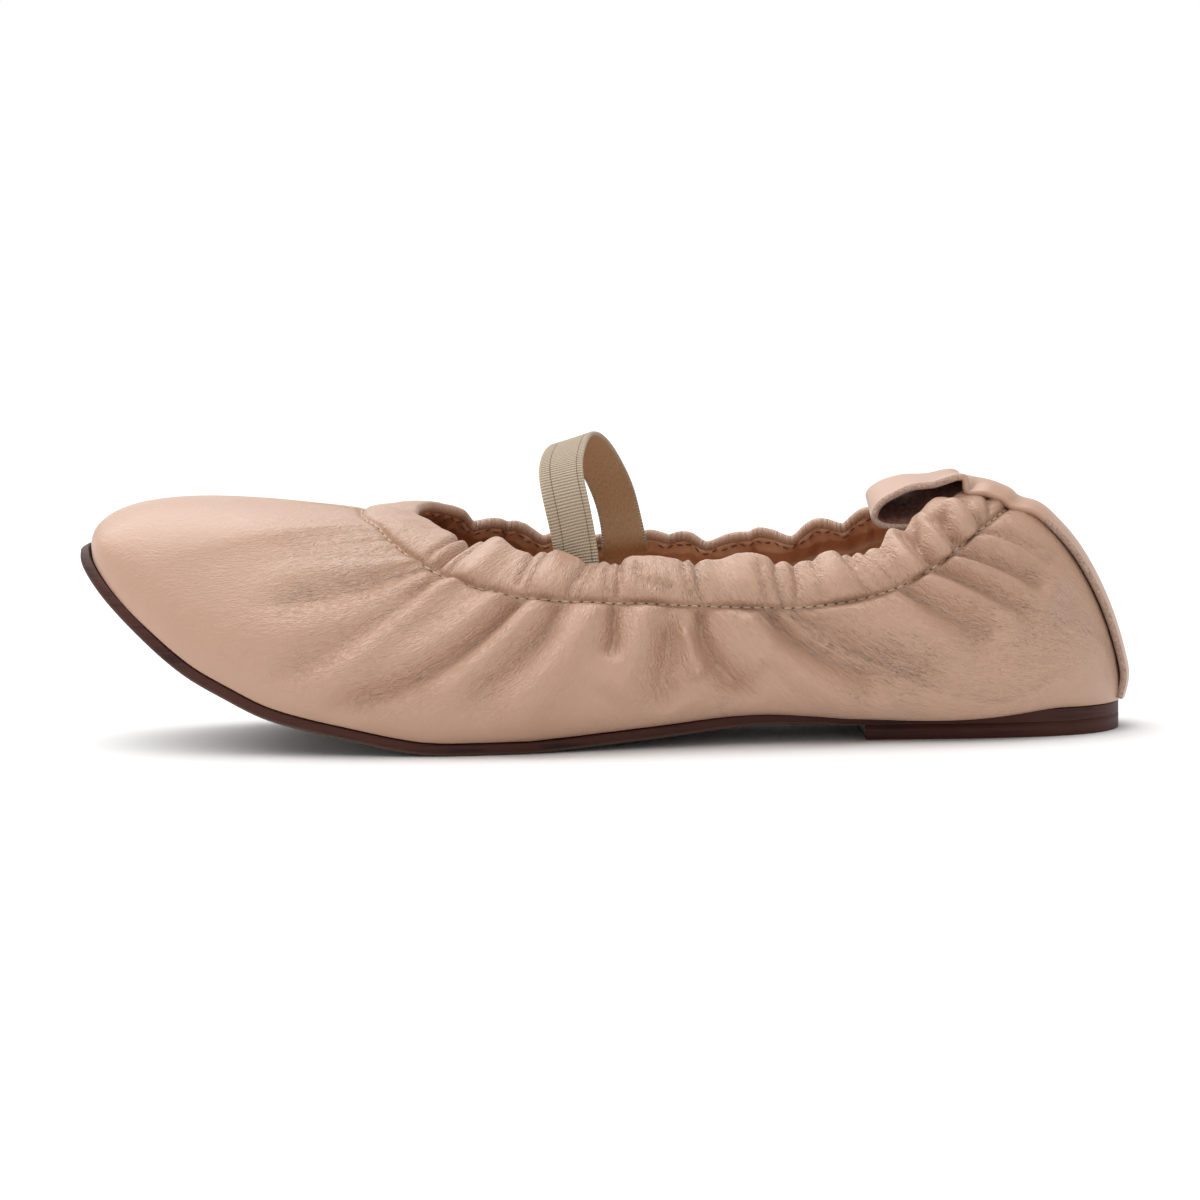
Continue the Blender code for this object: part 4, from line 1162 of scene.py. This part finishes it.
outer_leg = strap_leg(place_on_topline(-1, STRAP_OUTER_PLACE), -1)
inner_leg = strap_leg(place_on_topline(1, STRAP_INNER_PLACE), 1)
strap_start, strap_end = outer_leg[-1].mean(axis=0), inner_leg[-1].mean(axis=0)
course = np.array(STRAP_COURSE)
centre = strap_start + (strap_end - strap_start) * course[:, :1]
centre += course[:, 1:2] * np.array([0.0, 0.0, STRAP_RISE])
centre += course[:, 2:3] * np.array([-STRAP_WIDTH, 0.0, 0.0])
forward = unit(np.gradient(centre, axis=0))
toeward = np.array([-1.0, 0.0, 0.0]) - course[:, 3:] * np.array([0.0, 0.0, 1.0])
widthways = unit(toeward - np.sum(toeward * forward, axis=1)[:, None] * forward)
strap_spread = np.linspace(-0.5, 0.5, STRAP_COLUMNS) * STRAP_WIDTH * STRETCHED
arch = [point + strap_spread[:, None] * width for point, width in zip(centre, widthways)]
strap_rows = smooth_rows([*outer_leg, *arch, *inner_leg[::-1]], STRAP_ROWS)

# Woven elastic of covered rubber and polyester: cross ribs about half a millimetre apart, with
# a flat groove inside each selvedge, its colour darkened in the hollows as painted shade.
elastic, shader = new_material("ribbed_elastic", {"Roughness": 0.8, "Sheen Weight": 0.15})
weave = add_node(elastic, "ShaderNodeUVMap", uv_map="surface")
parts = add_node(elastic, "ShaderNodeSeparateXYZ", {0: weave})
RIB_PITCH = 0.70
CORD_PITCH = 0.42
CORD_SHARE = 0.45
GROOVE_PLACE, GROOVE_HALF_WIDTH, GROOVE_DEPTH = 3.65, 0.16, -1.6
ribs = add_node(
    elastic, "ShaderNodeMath", {0: parts.outputs["Y"], 1: 2 * math.pi / RIB_PITCH}, operation="MULTIPLY"
)
ribs = add_node(elastic, "ShaderNodeMath", {0: ribs}, operation="SINE")
cords = add_node(
    elastic, "ShaderNodeMath", {0: parts.outputs["X"], 1: 2 * math.pi / CORD_PITCH}, operation="MULTIPLY"
)
cords = add_node(elastic, "ShaderNodeMath", {0: cords}, operation="SINE")
cords = add_node(elastic, "ShaderNodeMath", {0: cords, 1: CORD_SHARE}, operation="MULTIPLY")
height = add_node(elastic, "ShaderNodeMath", {0: ribs, 1: cords}, operation="ADD")
from_middle = add_node(
    elastic, "ShaderNodeMath", {0: parts.outputs["X"], 1: STRAP_WIDTH / 2 * 1000}, operation="SUBTRACT"
)
from_middle = add_node(elastic, "ShaderNodeMath", {0: from_middle}, operation="ABSOLUTE")
groove = add_node(
    elastic, "ShaderNodeMath", {0: from_middle, 1: GROOVE_PLACE, 2: GROOVE_HALF_WIDTH}, operation="COMPARE"
)
deep = add_node(
    elastic, "ShaderNodeMath", {0: groove, 1: GROOVE_DEPTH, 2: height}, operation="MULTIPLY_ADD"
)
# Painted shade: the colour darkens with the weave's depth, in the rib hollows and most in the selvedge
# grooves.
shade = add_node(elastic, "ShaderNodeMapRange", {"Value": deep, 1: GROOVE_DEPTH, 2: 0.8, 3: 0.0, 4: 1.0})
rib_colour_with_painted_shade = add_node(
    elastic, "ShaderNodeMix", {0: shade, 6: srgb("#7A6550"), 7: srgb("#CDBA9F")}, data_type="RGBA"
)
elastic.node_tree.links.new(rib_colour_with_painted_shade.outputs[2], shader.inputs["Base Color"])
add_node(
    elastic,
    "ShaderNodeBump",
    {"Height": deep, "Distance": 0.00012, "Strength": 1.0},
    shader.inputs["Normal"],
)

# The elastic's plain back, where the tan rubber shows through a thin tricot: smooth and matt.
elastic_back, shader = new_material("elastic_back", {"Roughness": 0.75})
weave = add_node(elastic_back, "ShaderNodeUVMap", uv_map="surface")
knit = add_node(elastic_back, "ShaderNodeMapping", {"Vector": weave, "Scale": (3.2, 0.9, 1.0)})
knit = add_node(elastic_back, "ShaderNodeTexNoise", {"Vector": knit, "Scale": 1.0, "Detail": 3.0})
add_node(
    elastic_back, "ShaderNodeValToRGB", {"Fac": knit}, shader.inputs["Base Color"],
    stops=[(0.3, "#A88763"), (0.7, "#BF9F7B")],
)

place_piece(
    "instep_elastic",
    ribbon("instep_elastic", strap_rows, STRAP_THICKNESS, 3, (0, 0, 1)),
    [elastic, elastic_back],
    "strap",
    "strap",
)


# The heel strip: leather that covers the back seam, passes over the topline and folds back as
# a flattened pull loop. Its cut edges are left raw.
STRIP_CLEARANCE = 0.0005
STRIP_WIDTH = 0.0180
STRIP_THICKNESS = 0.0016
LOOP_LENGTH = 0.0218
LOOP_HEIGHT = 0.0082
STRIP_HEIGHTS = (0.02, 0.07, 0.14, 0.22, 0.40, 0.55, 0.70, 0.80, 0.90, 1.00, 1.10, 1.30, 1.55, 1.80)
STRIP_TUCK = 0.0011
STRIP_COLUMNS, STRIP_ROWS = 25, 300
PRESSED_FROM = 0.0480
LOOP_COURSE = (
    # share of loop length forward, of loop height up, of loop height that the inner side is raised
    (0.05, 0.20, 0.02),
    (0.34, 0.16, 0.12),
    (0.60, 0.10, 0.18),
    (0.80, -0.06, 0.29),
    (0.94, -0.27, 0.34),
    (1.00, -0.52, 0.40),
    (1.00, -0.60, 0.55),
    (0.95, -0.69, 0.64),
    (0.80, -0.72, 0.75),
    (0.62, -0.70, 0.80),
    (0.43, -0.52, 1.02),
    (0.29, -0.34, 1.06),
    (0.19, -0.26, 0.92),
    (0.10, -0.16, 0.72),
    (0.01, -0.05, 0.45),
)
widths = np.linspace(0.5, -0.5, STRIP_COLUMNS) * STRIP_WIDTH
near_back = np.linspace(-0.06, 0.06, 80)
strip_rows = []
for v in STRIP_HEIGHTS:
    tuck = STRIP_TUCK * (1 - smooth_step(0.0, 0.16, v))
    strip_face = wall_face(near_back, v, STRIP_CLEARANCE + STRIP_THICKNESS / 2 - tuck)
    axes = [np.interp(-widths, -strip_face[:, 1], axis) for axis in strip_face.T]
    strip_rows.append(np.stack(axes, axis=1))
loop_top = wall_row(wall_section(np.array([0.0])), 2)[0]
for ahead, up, tilt in LOOP_COURSE:
    x = np.full_like(widths, loop_top[0] - ahead * LOOP_LENGTH)
    z = loop_top[2] + LOOP_HEIGHT * (up + tilt * widths / STRIP_WIDTH)
    strip_rows.append(np.stack([x, widths, z], axis=1))

# Raw cut edge of the leather: grey-brown fibres, matt and slightly fuzzy.
raw_edge, shader = new_material("raw_leather_edge", {"Roughness": 0.95})
place = add_node(raw_edge, "ShaderNodeTexCoord").outputs["Object"]
fibres = add_node(raw_edge, "ShaderNodeTexNoise", {"Vector": place, "Scale": 2200.0, "Detail": 5.0})
add_node(
    raw_edge, "ShaderNodeValToRGB", {"Fac": fibres}, shader.inputs["Base Color"],
    stops=[(0.3, "#937868"), (0.7, "#BEA392")],
)
add_node(
    raw_edge,
    "ShaderNodeBump",
    {"Height": fibres, "Distance": 0.00025, "Strength": 1.0},
    shader.inputs["Normal"],
)

# The leather's flesh side inside the loop, napped and dull; its dark brown is painted shade of the loop's
# shadowed inside.
flesh_side, shader = new_material("loop_inside_painted_shade", {"Roughness": 0.9})
place = add_node(flesh_side, "ShaderNodeTexCoord").outputs["Object"]
nap = add_node(flesh_side, "ShaderNodeTexNoise", {"Vector": place, "Scale": 900.0, "Detail": 5.0})
add_node(
    flesh_side, "ShaderNodeValToRGB", {"Fac": nap}, shader.inputs["Base Color"],
    stops=[(0.3, "#62392F"), (0.75, "#966B5A")],
)
add_node(
    flesh_side,
    "ShaderNodeBump",
    {"Height": nap, "Distance": 0.0002, "Strength": 0.8},
    shader.inputs["Normal"],
)

# Over the topline the strip's edge is pressed down and its finish laps over the cut
strip_course = smooth_rows(strip_rows, STRIP_ROWS)
strip_middle = strip_course[:, STRIP_COLUMNS // 2]
pressed = (strip_middle[:, 2] > PRESSED_FROM) & (strip_middle[:, 0] > loop_top[0] - 0.0015)
place_piece(
    "heel_strip_leather",
    ribbon("heel_strip_leather", strip_course, STRIP_THICKNESS, 5, (0, 1, 2), pressed),
    [nappa, raw_edge, flesh_side],
    "heel_strip",
    "heel_strip",
)
